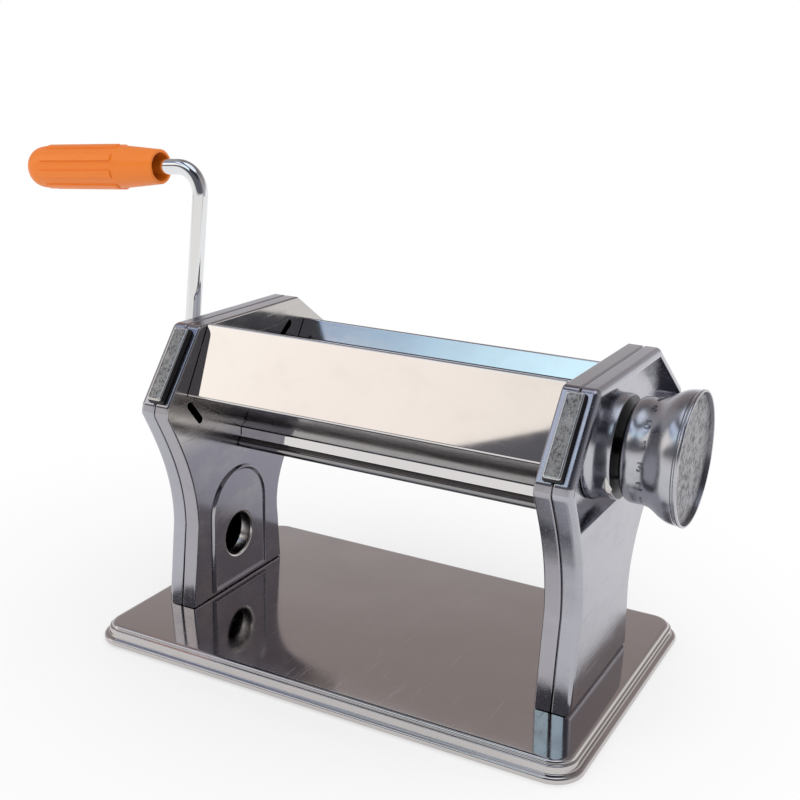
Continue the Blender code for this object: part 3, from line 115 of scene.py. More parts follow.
REAR_SLOT = ((37.3 * MM, 107.1 * MM), (31.7 * MM, 103.2 * MM))
SLOT_WIDTH = 3.2 * MM
PAD_WIDTH = 7.6 * MM
PAD_HEIGHT = 2.9 * MM
PAD_FROM_WEB = 2.4 * MM
PAD_LENGTH_SHARE = 0.92
PAD_MIDDLE_SHARE = 0.52
PAD_EDGE = 0.5 * MM
PAD_DRAFT = 0.55 * MM
PAD_BORDER = 1.35 * MM
PAD_GRAIN = 0.20 * MM
PAD_SEED = {-1: 11, 1: 12}

# Rollers, bars and folded sheets
AXIS_Z = 93.4 * MM
ADJUSTER_Y = -6.0 * MM
DRIVE_Y = 20.3 * MM
ROLLER_RADIUS = 12.5 * MM
GUIDE_BAR_Y = 0.5 * MM
GUIDE_BAR_Z = 63.0 * MM
GUIDE_BAR_RADIUS = 2.3 * MM
REAR_BAR_Y = 13.6 * MM
TIE_ROD_RADIUS = 3.0 * MM
BAR_CHAMFER = 0.3 * MM
SPIGOT_RADIUS = 1.7 * MM
SPIGOT_REACH = 3.7 * MM
FRONT_TIE_ROD = (-27.5 * MM, AXIS_Z)
REAR_TIE_ROD = (54.0 * MM, 92.9 * MM)
HOOD_SHEET = 0.8 * MM
HOOD_BEND = 1.0 * MM
FRONT_LIP_GAP = 1.8 * MM
FRONT_LIP_ANGLE = radians(114)
REAR_LIP_GAP = 0.8 * MM
REAR_LIP_ANGLE = radians(8)
FRONT_APEX = (-20.3 * MM, 118.8 * MM)
FRONT_BEND = (-35.1 * MM, 91.7 * MM)
REAR_KICK = (44.25 * MM, 99.6 * MM)
REAR_APEX = (49.4 * MM, 107.8 * MM)
REAR_BEND = (72.0 * MM, 91.4 * MM)
PANEL_END_Z = 69.7 * MM

# Knob and collar
KNOB_CENTRE = (ADJUSTER_Y, AXIS_Z)
SHAFT_RADIUS = 3.0 * MM
COLLAR_X = POCKET_X + FIT
COLLAR_END_X = FACE_X + 4.3 * MM
COLLAR_RADIUS = 20.3 * MM
COLLAR_WALL = 1.3 * MM
COLLAR_HUB_WALL = 2.6 * MM
POINTER_ANGLE = radians(225.0)
POINTER_LAG = radians(11)
POINTER_X_SHARE = 0.88
POINTER_HALF_WIDTH = 1.8 * MM
POINTER_HALF_LENGTH = 5.4 * MM
POINTER_HEIGHT = 1.2 * MM
STOPS = 9
STOP_TURN = pi / 8
INDEX_RADIUS = 12.8 * MM
INDEX_PIN_RADIUS = 1.1 * MM
INDEX_DEPTH = 2.4 * MM
KNOB_X = COLLAR_END_X + 2.4 * MM
KNOB_LENGTH = 21.8 * MM
KNOB_END_X = KNOB_X + KNOB_LENGTH
KNOB_RADIUS = 23.9 * MM
KNOB_PLATE = 3.2 * MM
KNOB_HOLLOW_RADIUS = 17.0 * MM
NUMERAL_SIZE = 4.6 * MM
NUMERAL_RISE = 0.20 * MM
NUMERAL_BEVEL = 0.05 * MM
NECK_RADIUS = 0.787 * KNOB_RADIUS
NECK_FLARE = 7.0 * MM
DISC_X = KNOB_END_X - 2.7 * MM
DISC_THICKNESS = 1.2 * MM
DISC_RADIUS = KNOB_RADIUS - 0.9 * MM - FIT

# Crank
ROD_RADIUS = 3.4 * MM
ROD_BEND = 12.0 * MM
STUB_END_X = FACE_X + 2.2 * MM - 22 * MM
ARM_X = FACE_X + 26.9 * MM
ARM_LENGTH = 79.5 * MM
ARM_LEAN = radians(7.4)
HANDLE_DROOP = radians(4.0)
GRIP_START = 22.0 * MM
GRIP_LENGTH = 73.4 * MM
GRIP_RADIUS = 9.5 * MM
GRIP_END_WALL = 9.4 * MM
GRIP_DOME = 7.5 * MM
GRIP_DOME_TURN = radians(86)
GRIP_RIBS = 8
RIB_START = 21.3 * MM
RIB_END = GRIP_LENGTH - GRIP_DOME - 3.1 * MM
RIB_RISE = 0.75 * MM

# The photograph's camera, from the base's middle on the floor
CAMERA_TURN = radians(27.8287)
CAMERA_RISE = radians(16.587)
CAMERA_ROLL = radians(1.5295)
CAMERA_PLACE = (0.20750, -0.39251, 0.23299)
CAMERA_FOCAL_PIXELS = 1200.6
IMAGE_PIXELS = 800

base_low, base_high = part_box("base_plate")
BASE_LOW = Vector(((base_low.x + base_high.x) / 2, (base_low.y + base_high.y) / 2, base_low.z))
ORIGIN = BASE_LOW + Vector((0, 0, LEVEL_Z))
BASE_LENGTH = 2 * (WEB_X + BASE_PAST_WEB)


# Outlines in the (y, z) plane

def rounded(corners, closed=True, steps=8):
    """Outline through (y, z, radius) corners, with an arc for each that has a radius."""
    outline = []
    count = len(corners)
    for index, (y, z, radius) in enumerate(corners):
        here = Vector((y, z))
        if radius == 0 or (not closed and index in (0, count - 1)):
            outline.append(here)
            continue
        before = (Vector(corners[index - 1][:2]) - here).normalized()
        after = (Vector(corners[(index + 1) % count][:2]) - here).normalized()
        half = before.angle(after) / 2
        centre = here + (before + after).normalized() * (radius / sin(half))
        start = here + before * (radius / tan(half)) - centre
        end = here + after * (radius / tan(half)) - centre
        sweep = atan2(start.x * end.y - start.y * end.x, start.dot(end))
        for step in range(steps + 1):
            outline.append(centre + Matrix.Rotation(sweep * step / steps, 2) @ start)
    return outline


def shifted(outline, distance, closed=True):
    """The outline moved sideways, to the left of its own direction for a positive distance."""
    count = len(outline)
    result = []
    for index, here in enumerate(outline):
        normals = []
        if closed or index > 0:
            edge = (here - outline[index - 1]).normalized()
            normals.append(Vector((-edge.y, edge.x)))
        if closed or index < count - 1:
            edge = (outline[(index + 1) % count] - here).normalized()
            normals.append(Vector((-edge.y, edge.x)))
        if len(normals) == 1:
            result.append(here + normals[0] * distance)
        else:
            spread = 1 + normals[0].dot(normals[1])
            result.append(here + (normals[0] + normals[1]) * (distance / spread))
    return result


def curve(start, end, pull_shares, steps):
    """Inner points of a cubic curve; its handles lie at shares of the way in y and in z."""
    start = Vector(start)
    way = Vector(end) - start
    handles = [start + Vector((way.x * share_y, way.y * share_z)) for share_y, share_z in pull_shares]
    points = []
    for step in range(1, steps):
        t = step / steps
        s = 1 - t
        point = start * s ** 3 + handles[0] * (3 * s * s * t) + handles[1] * (3 * s * t * t)
        points.append(point + Vector(end) * t ** 3)
    return points


def smooth(points, steps):
    """A rounder line through the points: a Catmull-Rom curve with steps to each stretch."""
    points = [Vector(point) for point in points]
    held = [points[0]] + points + [points[-1]]
    line = []
    for before, start, end, after in zip(held, held[1:], held[2:], held[3:]):
        for step in range(steps):
            t = step / steps
            line.append(0.5 * (
                2 * start + (end - before) * t + (2 * before - 5 * start + 4 * end - after) * t * t
                + (3 * start - before - 3 * end + after) * t ** 3
            ))
    return line + [points[-1]]


def beside(start, end, share, distance):
    """The point at a share of the way from start to end, then to the left by a distance."""
    start = Vector(start)
    way = Vector(end) - start
    side = Vector((-way.y, way.x)).normalized()
    return start + way * share + side * distance


def polar(centre, radius, angle):
    """The point at a radius and an angle from a centre, with the angle turning from +Y to +Z."""
    return Vector((centre[0] + radius * cos(angle), centre[1] + radius * sin(angle)))


def circle(centre, radius, sides):
    """A regular outline round a centre."""
    return [polar(centre, radius, tau * side / sides) for side in range(sides)]


def arc(centre, radius, first, last, steps):
    """Points along an arc, both ends included."""
    return [polar(centre, radius, first + (last - first) * step / steps) for step in range(steps + 1)]


def rounded_rectangle(half_x, half_y, radius, steps):
    """Corner arcs of a rectangle about the origin, anticlockwise from its first quarter."""
    outline = []
    for quarter, (side_x, side_y) in enumerate(((1, 1), (-1, 1), (-1, -1), (1, -1))):
        corner = (side_x * (half_x - radius), side_y * (half_y - radius))
        outline += arc(corner, radius, pi / 2 * quarter, pi / 2 * (quarter + 1), steps)
    return outline


def slot(ends, width, steps=8):
    """A straight slot with round ends, between two middles."""
    start, end = Vector(ends[0]), Vector(ends[1])
    way = end - start
    heading = atan2(way.y, way.x)
    half = pi / 2
    return (arc(end, width / 2, heading - half, heading + half, steps)
            + arc(start, width / 2, heading + half, heading + 3 * half, steps))


# Solids

def loft(rings):
    """A solid through rings of equally many points, capped at the first and the last."""
    solid = bmesh.new()
    rows = [[solid.verts.new(point) for point in ring] for ring in rings]
    count = len(rows[0])
    for lower, upper in zip(rows, rows[1:]):
        for index in range(count):
            following = (index + 1) % count
            solid.faces.new((lower[index], lower[following], upper[following], upper[index]))
    solid.faces.new(rows[0])
    solid.faces.new(rows[-1])
    bmesh.ops.recalc_face_normals(solid, faces=solid.faces)
    return solid


def ring_at(outline, x):
    """An outline of (y, z) points as a ring of space points at one x."""
    return [(x, *point) for point in outline]


def prism(outline, x_start, x_end):
    """A solid with one outline all along X."""
    return loft([ring_at(outline, x_start), ring_at(outline, x_end)])


def turned(profile, sides=96, closed=False, centre=(0, 0)):
    """A solid turned about a line along X from (x, radius) points; a closed profile keeps a bore."""
    points = list(profile)
    if closed:
        points.append(points[0])
    solid = bmesh.new()
    rows = []
    for x, radius in points:
        if radius < FIT / 100:
            rows.append([solid.verts.new((x, *centre))])
        else:
            rows.append([solid.verts.new(point) for point in ring_at(circle(centre, radius, sides), x)])
    if closed:
        for vertex in rows[-1]:
            solid.verts.remove(vertex)
        rows[-1] = rows[0]
    for lower, upper in zip(rows, rows[1:]):
        for index in range(sides):
            following = (index + 1) % sides
            corners = [lower[index % len(lower)], lower[following % len(lower)],
                       upper[following % len(upper)], upper[index % len(upper)]]
            corners = [corner for place, corner in enumerate(corners) if corner not in corners[:place]]
            if len(corners) > 2:
                solid.faces.new(corners)
    bmesh.ops.recalc_face_normals(solid, faces=solid.faces)
    return solid


def changed(solid, matrix):
    """The solid moved or turned by a matrix."""
    bmesh.ops.transform(solid, matrix=matrix, verts=solid.verts)
    return solid


def linked(name, data):
    """A new object in the scene."""
    thing = bpy.data.objects.new(name, data)
    bpy.context.scene.collection.objects.link(thing)
    return thing


def settled(name, solid):
    """A solid as an object, with the solid let go."""
    mesh = bpy.data.meshes.new(name)
    solid.to_mesh(mesh)
    solid.free()
    return linked(name, mesh)


def evaluated(thing):
    """An object with its modifiers or its text worked out."""
    return thing.evaluated_get(bpy.context.evaluated_depsgraph_get())


def combined(solid, tools, operation):
    """The solid after a Boolean with each tool in turn."""
    body = settled("scratch", solid)
    helpers = [settled("scratch", tool) for tool in tools]
    for helper in helpers:
        step = body.modifiers.new("combine", "BOOLEAN")
        step.operation = operation
        step.solver = "EXACT"
        step.object = helper
    result = bmesh.new()
    result.from_mesh(evaluated(body).data)
    for thing in [body] + helpers:
        mesh = thing.data
        bpy.data.objects.remove(thing)
        bpy.data.meshes.remove(mesh)
    bmesh.ops.remove_doubles(result, verts=result.verts, dist=FIT / 100)
    bmesh.ops.dissolve_degenerate(result, edges=result.edges, dist=FIT / 100)
    return result


def cut(solid, *tools):
    """The solid with each tool taken away from it."""
    return combined(solid, tools, "DIFFERENCE")


def joined(solid, *tools):
    """The solid with each tool added to it."""
    return combined(solid, tools, "UNION")


# Materials

class Nodes:
    """Short ways to add nodes to one tree."""

    def __init__(self, tree):
        self.tree = tree

    def feed(self, socket, value):
        """A link or a constant on one socket; a constant colour has three numbers."""
        if isinstance(value, bpy.types.NodeSocket):
            self.tree.links.new(value, socket)
        else:
            socket.default_value = (*value, 1) if socket.type == "RGBA" else value

    def add(self, kind, **inputs):
        """A node of one kind with its settings, and values or links on its inputs by name or _number."""
        node = self.tree.nodes.new(kind)
        for name, value in inputs.items():
            if hasattr(node, name):
                setattr(node, name, value)
            else:
                key = name.replace("_", " ").strip()
                self.feed(node.inputs[int(key) if key.isdigit() else key], value)
        return node

    def ramp(self, value, low, high, to_low=0.0, to_high=1.0):
        """A value's range stretched onto another, with soft ends."""
        limits = {"From_Min": low, "From_Max": high, "To_Min": to_low, "To_Max": to_high}
        node = self.add("ShaderNodeMapRange", interpolation_type="SMOOTHSTEP", Value=value, **limits)
        return node.outputs["Result"]

    def math(self, operation, *values):
        """Values joined by arithmetic."""
        places = {f"_{index}": value for index, value in enumerate(values)}
        return self.add("ShaderNodeMath", operation=operation, **places).outputs[0]

    def mix(self, factor, first, second):
        """A colour between two others."""
        return self.add("ShaderNodeMix", data_type="RGBA", _0=factor, _6=first, _7=second).outputs[2]

    def blend(self, factor, first, second):
        """A shader between two others."""
        return self.add("ShaderNodeMixShader", _0=factor, _1=first, _2=second).outputs[0]


class Shader(Nodes):
    """A Principled material that is built up in layers."""

    def __init__(self, name, colour, metallic, roughness):
        self.material = bpy.data.materials.new(name)
        self.material.use_nodes = True
        super().__init__(self.material.node_tree)
        self.bsdf = self.tree.nodes["Principled BSDF"]
        self.colour = colour
        for socket, value in (("Metallic", metallic), ("Roughness", roughness), ("Base Color", colour)):
            self.feed(self.bsdf.inputs[socket], value)
        self.place = self.add("ShaderNodeTexCoord").outputs["Object"]
        self.normal = None

    def noise(self, scale, stretch=(1, 1, 1), turn=(0, 0, 0), detail=4, rough=0.6):
        """Noise in the piece's own space, stretched along its axes."""
        sizes = [scale * share for share in stretch]
        mapping = self.add("ShaderNodeMapping", Vector=self.place, Rotation=turn, Scale=sizes).outputs[0]
        texture = self.add("ShaderNodeTexNoise", Vector=mapping, Scale=1.0, Detail=detail, Roughness=rough)
        return texture.outputs["Fac"]

    def tint(self, factor, colour):
        """Another colour laid over the base colour by a factor."""
        source = self.bsdf.inputs["Base Color"]
        under = source.links[0].from_socket if source.is_linked else self.colour
        self.feed(source, self.mix(factor, under, colour))

    def shade(self, factor, times, plus=0.0):
        """A darker or lighter base colour laid over it by a factor."""
        self.tint(factor, [min(1.0, part * times + plus) for part in self.colour])

    def roughen(self, value):
        """Roughness from a value."""
        self.feed(self.bsdf.inputs["Roughness"], value)

    def bump(self, height, distance, strength=1.0):
        """One more layer of bump."""
        node = self.add("ShaderNodeBump", Height=height, Distance=distance, Strength=strength)
        if self.normal:
            self.feed(node.inputs["Normal"], self.normal)
        self.normal = node.outputs["Normal"]
        self.feed(self.bsdf.inputs["Normal"], self.normal)


def scratches(shader, scale, turns, threshold=0.66):
    """Thin scratches in several directions, as one value."""
    total = None
    for index, turn in enumerate(turns):
        lines = shader.noise(scale, (1, 0.03, 1), (turn[0], turn[1], turn[2] + index), 3, 0.6)
        lines = shader.ramp(lines, threshold, threshold + 0.05)
        total = lines if total is None else shader.math("MAXIMUM", total, lines)
    return total


def sheet_metal(name, colour, roughness, grain, waviness=6e-5, haze=0.05, scratch=0.04, relief=4e-6,
                painted_shade_low_colour=None):
    """Chromed sheet: brush lines, hazy patches, scratches, uneven faces, and a darker colour low down that
    is painted shade.
    """
    shader = Shader(name, colour, 1.0, roughness)
    if painted_shade_low_colour:
        # Painted shade: the base colour turns darker towards the bottom.
        height = shader.add("ShaderNodeSeparateXYZ", Vector=shader.place).outputs["Z"]
        shader.tint(shader.ramp(height, 0.092, 0.072), painted_shade_low_colour)
    lines = shader.noise(2600.0, grain, detail=3)
    patches = shader.noise(55.0, (1.0, 1.0, 1.6), detail=5)
    marks = scratches(shader, 900.0, ((0.3, 0.5, 0.2), (1.1, 0.2, 0.9), (0.2, 1.3, 2.2)))
    value = shader.ramp(patches, 0.35, 0.75, roughness, roughness + haze)
    value = shader.math("ADD", value, shader.math("MULTIPLY", marks, scratch))
    shader.roughen(shader.math("ADD", value, shader.math("MULTIPLY", lines, haze / 2)))
    shader.shade(shader.ramp(patches, 0.45, 0.8, 0.0, 0.35), 0.86)
    shader.bump(shader.noise(24.0, detail=1), waviness * 6, 0.6)
    shader.bump(lines, relief)
    shader.bump(marks, relief * 1.5, 0.5)
    return shader.material


def turned_metal(name, colour, roughness, scale=2200.0, haze=0.06):
    """Turned steel: rings round the X axis, with haze and a few scratches."""
    shader = Shader(name, colour, 1.0, roughness)
    rings = shader.noise(scale, (1.0, 0.02, 0.02), detail=3)
    patches = shader.noise(120.0, detail=4)
    marks = scratches(shader, 1200.0, ((0.4, 0.1, 0.3), (0.9, 0.7, 1.4)), 0.7)
    value = shader.ramp(patches, 0.35, 0.75, roughness, roughness + haze)
    shader.roughen(shader.math("ADD", value, shader.math("MULTIPLY", marks, haze)))
    shader.shade(shader.ramp(patches, 0.5, 0.85, 0.0, 0.5), 0.8)
    shader.bump(rings, 5e-6)
    shader.bump(marks, 6e-6, 0.5)
    return shader.material


def cast_metal(name, colour, roughness, depth=0.00022, scale=900.0):
    """Rough grey metal with pits and worn high spots."""
    shader = Shader(name, colour, 1.0, roughness)
    grains = shader.noise(scale, (1, 0.6, 0.6), detail=6, rough=0.7)
    patches = shader.noise(260.0, detail=3)
    marks = scratches(shader, 800.0, ((0.9, 0.2, 0.4), (0.2, 0.5, 1.7)), 0.62)
    shader.roughen(shader.ramp(grains, 0.3, 0.7, roughness + 0.15, roughness - 0.08))
    shader.shade(shader.ramp(grains, 0.55, 0.36), 0.30)
    shader.shade(shader.ramp(patches, 0.5, 0.7, 0.0, 0.5), 1.5)
    shader.shade(shader.math("MULTIPLY", marks, 0.3), 1.9)
    shader.bump(grains, depth)
    shader.bump(marks, 4e-5, 0.6)
    return shader.material


def plastic(name, colour, roughness, speckle=1e-5, scale=2400.0):
    """Moulded plastic: satin skin, faint mottling and scuffs."""
    shader = Shader(name, colour, 0.0, roughness)
    skin = shader.noise(scale, detail=3)
    patches = shader.noise(90.0, (0.4, 1, 1), detail=4)
    marks = scratches(shader, 1000.0, ((0.3, 0.2, 1.2), (0.8, 0.4, 0.1)), 0.68)
    shader.roughen(shader.math("ADD", shader.ramp(patches, 0.3, 0.7, roughness - 0.06, roughness + 0.06),
                               shader.math("MULTIPLY", marks, 0.12)))
    shader.shade(shader.ramp(patches, 0.45, 0.8, 0.0, 0.4), 0.86)
    shader.shade(shader.math("MULTIPLY", marks, 0.15), 1.1, 0.04)
    shader.bump(skin, speckle)
    return shader.material


MATERIALS = {
    "hood": sheet_metal("hood chrome", (0.72, 0.70, 0.69), 0.025, (0.02, 1.0, 1.0), waviness=4e-6,
                        haze=0.02, scratch=0.02, relief=6e-8),
    # Painted shade: a dark copy of the hood chrome for the front hood's downward faces.
    "underside_painted_shade": sheet_metal("hood underside painted shade", (0.18, 0.165, 0.17), 0.08, (0.02, 1.0, 1.0), haze=0.05),
    "rear_hood": sheet_metal("hopper chrome", (0.66, 0.67, 0.69), 0.09, (0.02, 1.0, 1.0), haze=0.06),
    "base": sheet_metal("base chrome", (0.60, 0.575, 0.565), 0.05, (0.03, 1.0, 1.0), haze=0.06,
                        scratch=0.14),
    # Painted shade: the web chrome is darker low down.
    "web": sheet_metal("web chrome", (0.56, 0.54, 0.52), 0.09, (1.0, 0.05, 1.0), haze=0.12, scratch=0.16,
                       relief=2e-6, painted_shade_low_colour=(0.25, 0.245, 0.29)),
    # Painted shade: a darker chrome for the inner sheet's rims and lips than for the web of the same
    # sheet.
    "inner": sheet_metal("inner rim chrome with painted shade", (0.40, 0.39, 0.42), 0.09, (1.0, 0.05, 1.0), haze=0.10,
                         scratch=0.16),
    "cover": sheet_metal("cover chrome", (0.44, 0.44, 0.485), 0.13, (1.0, 0.04, 1.0), haze=0.10,
                         scratch=0.16, relief=2.5e-6),
    "pad": cast_metal("cast pad", (0.46, 0.45, 0.44), 0.34, 0.00034, 1300.0),
    # Brighter chrome for the pads' borders and the pointer; on the clamp hole's rolled lip it is a painted
    # highlight.
    "bright_border_and_highlight": sheet_metal("pad border and painted highlight", (0.62, 0.60, 0.58), 0.14, (1.0, 1.0, 0.05), haze=0.10),
    "knob": turned_metal("knob chrome", (0.50, 0.505, 0.54), 0.21, haze=0.09),
    # Blackened steel on the adjuster shaft; on the rear hood gap, the collar and knob end faces and the
    # pads' sides it is painted shade.
    "gap": turned_metal("blackened steel and painted shade", (0.06, 0.06, 0.065), 0.35),
    "disc": cast_metal("knob disc", (0.31, 0.30, 0.32), 0.34, 0.00018, 900.0),
    "rod": turned_metal("rod chrome", (0.78, 0.79, 0.80), 0.05, 1400.0, 0.03),
    "bar": turned_metal("bar steel", (0.30, 0.29, 0.29), 0.08),
    "numeral": turned_metal("numeral edges", (0.30, 0.30, 0.33), 0.25),
    "roller": turned_metal("roller steel", (0.56, 0.56, 0.58), 0.16, 2600.0, 0.10),
    "zinc": turned_metal("zinc plate", (0.50, 0.51, 0.54), 0.34, 1800.0, 0.12),
    "brass": turned_metal("brass", (0.66, 0.48, 0.22), 0.28, 1800.0, 0.10),
    "spring": turned_metal("spring steel", (0.26, 0.26, 0.28), 0.30, 1800.0, 0.10),
    "nylon": plastic("nylon", (0.74, 0.73, 0.68), 0.42),
    "rubber": plastic("rubber", (0.022, 0.022, 0.024), 0.75, 4e-5, 1500.0),
    "grip": plastic("orange plastic", (0.90, 0.22, 0.012), 0.38, 1.2e-5, 2600.0),
}


# Pieces

def dress(thing, material_name, sharp=35.0):
    """Finish, smooth shading with flat faces kept flat."""
    thing.data.materials.clear()
    thing.data.materials.append(MATERIALS[material_name])
    thing.data.shade_smooth()
    thing.data.set_sharp_from_angle(angle=radians(sharp))
    weigh = thing.modifiers.new("flat faces", "WEIGHTED_NORMAL")
    weigh.keep_sharp = True
    weigh.weight = 100


def paint(thing, material_name, test):
    """One more finish, on the faces that pass a test."""
    thing.data.materials.append(MATERIALS[material_name])
    for face in thing.data.polygons:
        if test(face):
            face.material_index = len(thing.data.materials) - 1


def piece(name, solid, material_name, body, slot_name, *replaced, origin=ORIGIN, sharp=35.0):
    """One visible piece, drawn in machine space, that stands for CAD nodes of its body."""
    thing = settled(name, changed(solid, Matrix.Translation(origin)))
    dress(thing, material_name, sharp)
    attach(thing, body)
    if replaced:
        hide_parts(*replaced)
    return thing


# Base tray

def base_ring(inset, z):
    """The base's outline drawn in by an inset, at one height over the plateau's level."""
    half_x, half_y = BASE_LENGTH / 2 - inset, BASE_DEPTH / 2 - inset
    return [(x, y, z) for x, y in rounded_rectangle(half_x, half_y, BASE_CORNER_RADIUS - inset, 16)]


def base_tray():
    """The pressed tray with its two rounded beads."""
    lower = [
        (0.3, 0.0), (0.1, 0.25), (0.0, 0.75), (0.0, 1.2), (0.1, 1.7), (0.4, 2.1), (0.9, 2.34),
        (1.5, 2.4), (1.9, 2.47), (2.12, 2.68), (2.2, 3.0), (2.24, 3.8), (2.26, 4.6), (2.32, 5.1),
        (2.52, 5.34), (2.85, 5.43), (3.15, 5.53), (3.32, 5.78), (3.45, 6.15), (3.75, 6.5), (4.2, 6.72),
        (4.8, 6.79), (5.2, 6.8),
    ]
    skin = smooth([(inset * MM, height * MM) for inset, height in lower], 2)
    outside = [base_ring(inset, height) for inset, height in skin]
    inside = [base_ring(inset + BASE_SHEET, max(height - BASE_SHEET, BASE_EDGE_Z))
              for inset, height in reversed(skin[8:])]
    inside.append(base_ring(skin[0][0] + BASE_SHEET, 0))
    tray = loft(inside + outside)
    piece("base_tray", tray, "base", "body", "mirror_sheet", "base_plate", origin=BASE_LOW)


base_tray()


# Side frames

def frame_corners():
    """Corners and their radii in the frames' side view, from front toe over the head to rear toe."""
    front_shares = [(1 - share_y, 1 - share_z) for share_y, share_z in reversed(FRONT_LEG_SHARES)]
    corners = [(FRONT_TOE_Y, 0, 0), (*FRONT_WAIST, 0)]
    corners += [(*point, 0) for point in curve(FRONT_WAIST, FRONT_CHIN, front_shares, 24)]
    corners += [
        (*FRONT_CHIN, 3.0 * MM), (*FRONT_BROW, 3.5 * MM), (HEAD_TOP_FRONT_Y, HEAD_TOP_Z, 3.5 * MM),
        (HEAD_TOP_REAR_Y, HEAD_TOP_Z, 3.5 * MM), (*REAR_BROW, 3.5 * MM), (*REAR_CHIN, 3.0 * MM),
    ]
    corners += [(*point, 0) for point in curve(REAR_CHIN, REAR_WAIST, REAR_LEG_SHARES, 24)]
    return corners + [(*REAR_WAIST, 0), (REAR_TOE_Y, 0, 0)]


FRAME_OUTLINE = rounded(frame_corners())


def pan(side, steps):
    """A pan lofted through (inset, x) steps of the frame's outline, on one side of the machine."""
    return loft([ring_at(shifted(FRAME_OUTLINE, -inset), side * x) for inset, x in steps])


def quarter(middle_inset, middle_x, radius, first, last, steps=6):
    """(inset, x) points along an arc of a pan's section; 0 degrees is outwards and 90 to the face."""
    first, last = radians(180 - first), radians(180 - last)
    return arc((middle_inset, middle_x), radius, first, last, steps)


def hole_tool(side, centre, radius, x_start, x_end, sides=64):
    """A round tool along X between two distances from the machine's middle."""
    return prism(circle(centre, radius, sides), side * x_start, side * x_end)


def arch_outline(grow):
    """The arch's outline, grown outwards."""
    springing = ARCH_TOP_Z - ARCH_HALF_WIDTH
    half = ARCH_HALF_WIDTH + grow
    feet = [Vector((ARCH_Y + reach, ARCH_BOTTOM_Z - grow)) for reach in (-half, half)]
    return feet + arc((ARCH_Y, springing), half, 0, pi, 48)


def arch(side):
    """The raised arch on the leg's inner side, with a rounded border."""
    rings = [ring_at(arch_outline(0), side * (WEB_X + SHEET / 2))]
    for inset, rise in smooth(ARCH_SECTION, 3):
        rings.append(ring_at(arch_outline(-inset * MM), side * (WEB_X - max(rise, 0) * MM)))
    return loft(rings)


def inner_frame(side):
    """The pan that faces the rollers, with its arch, rolled clamp hole and slots."""
    lip = SHEET + FIT
    lip_end = COVER_X + LIP_REACH
    steps = [
        (SHEET, CAVITY_X), (SHEET, SEAM_X - LIP_STEP - SHEET), (lip + SHEET, SEAM_X - SHEET),
        (lip + SHEET, lip_end), (lip, lip_end), (lip, SEAM_X),
    ]
    steps += quarter(SEAM_ROUND, SEAM_X - SEAM_ROUND, SEAM_ROUND, 90, 0)
    steps += quarter(WEB_BEND, WEB_X + WEB_BEND, WEB_BEND, 0, -90)
    flange_end = CAVITY_X + FLANGE_DEPTH
    flange = hole_tool(side, CLAMP_HOLE, CLAMP_HOLE_RADIUS + FLANGE_WALL, WEB_X + SHEET / 2, flange_end)
    near = WEB_X - CUT_PAST
    far = CAVITY_X + MM
    mouth = WEB_X - ARCH_RISE
    flare_radius = CLAMP_HOLE_RADIUS + HOLE_LEAD
    flare = [(side * near, 0), (side * near, flare_radius), (side * mouth, flare_radius)]
    for step in range(1, 9):
        turn = pi / 2 * step / 8
        radius = CLAMP_HOLE_RADIUS + HOLE_LEAD * (1 - sin(turn))
        flare.append((side * (mouth + HOLE_LEAD * (1 - cos(turn))), radius))
    flare += [(side * (far + FLANGE_DEPTH), radius) for radius in (CLAMP_HOLE_RADIUS, 0)]
    tools = [
        turned(flare, 64, centre=CLAMP_HOLE),
        hole_tool(side, KNOB_CENTRE, LEFT_SHAFT_HOLE if side < 0 else RIGHT_SHAFT_HOLE, near, far),
        hole_tool(side, (DRIVE_Y, AXIS_Z), DRIVE_HOLE, near, far),
    ]
    tools += [prism(slot(ends, SLOT_WIDTH), side * near, side * far) for ends in (FRONT_SLOT, REAR_SLOT)]
    name = SIDE_NAMES[side]
    solid = cut(joined(pan(side, steps), arch(side), flange), *tools)
    sheet = piece(f"{name}_inner_pan", solid, "inner", "body", "mirror_sheet", f"{name}_inner_frame",
                  sharp=40)
    middle = Vector(CLAMP_HOLE) + Vector((ORIGIN.y, ORIGIN.z))

    def in_hole(face):
        return (Vector(face.center[1:]) - middle).length < flare_radius and abs(face.normal.x) < 0.97

    # Painted highlight: the clamp hole's rolled lip gets the brighter border chrome.
    paint(sheet, "bright_border_and_highlight", in_hole)
    # Painted shade: faces that are neither web nor hole lip keep the darker inner rim chrome.
    paint(sheet, "web", lambda face: abs(face.normal.x) > 0.8 and not in_hole(face))


def pocket(steps):
    """A solid lofted through (inset, x) steps of the head's part of the side view."""
    corners = [Vector(corner[:2]) for corner in frame_corners()]
    outline = []
    for here, after in zip(corners, corners[1:]):
        if here.y > POCKET_BOTTOM_Z:
            outline.append(here)
        if (here.y > POCKET_BOTTOM_Z) != (after.y > POCKET_BOTTOM_Z):
            outline.append(here.lerp(after, (POCKET_BOTTOM_Z - here.y) / (after.y - here.y)))
    return loft([ring_at(shifted(outline, -inset), x) for inset, x in steps])


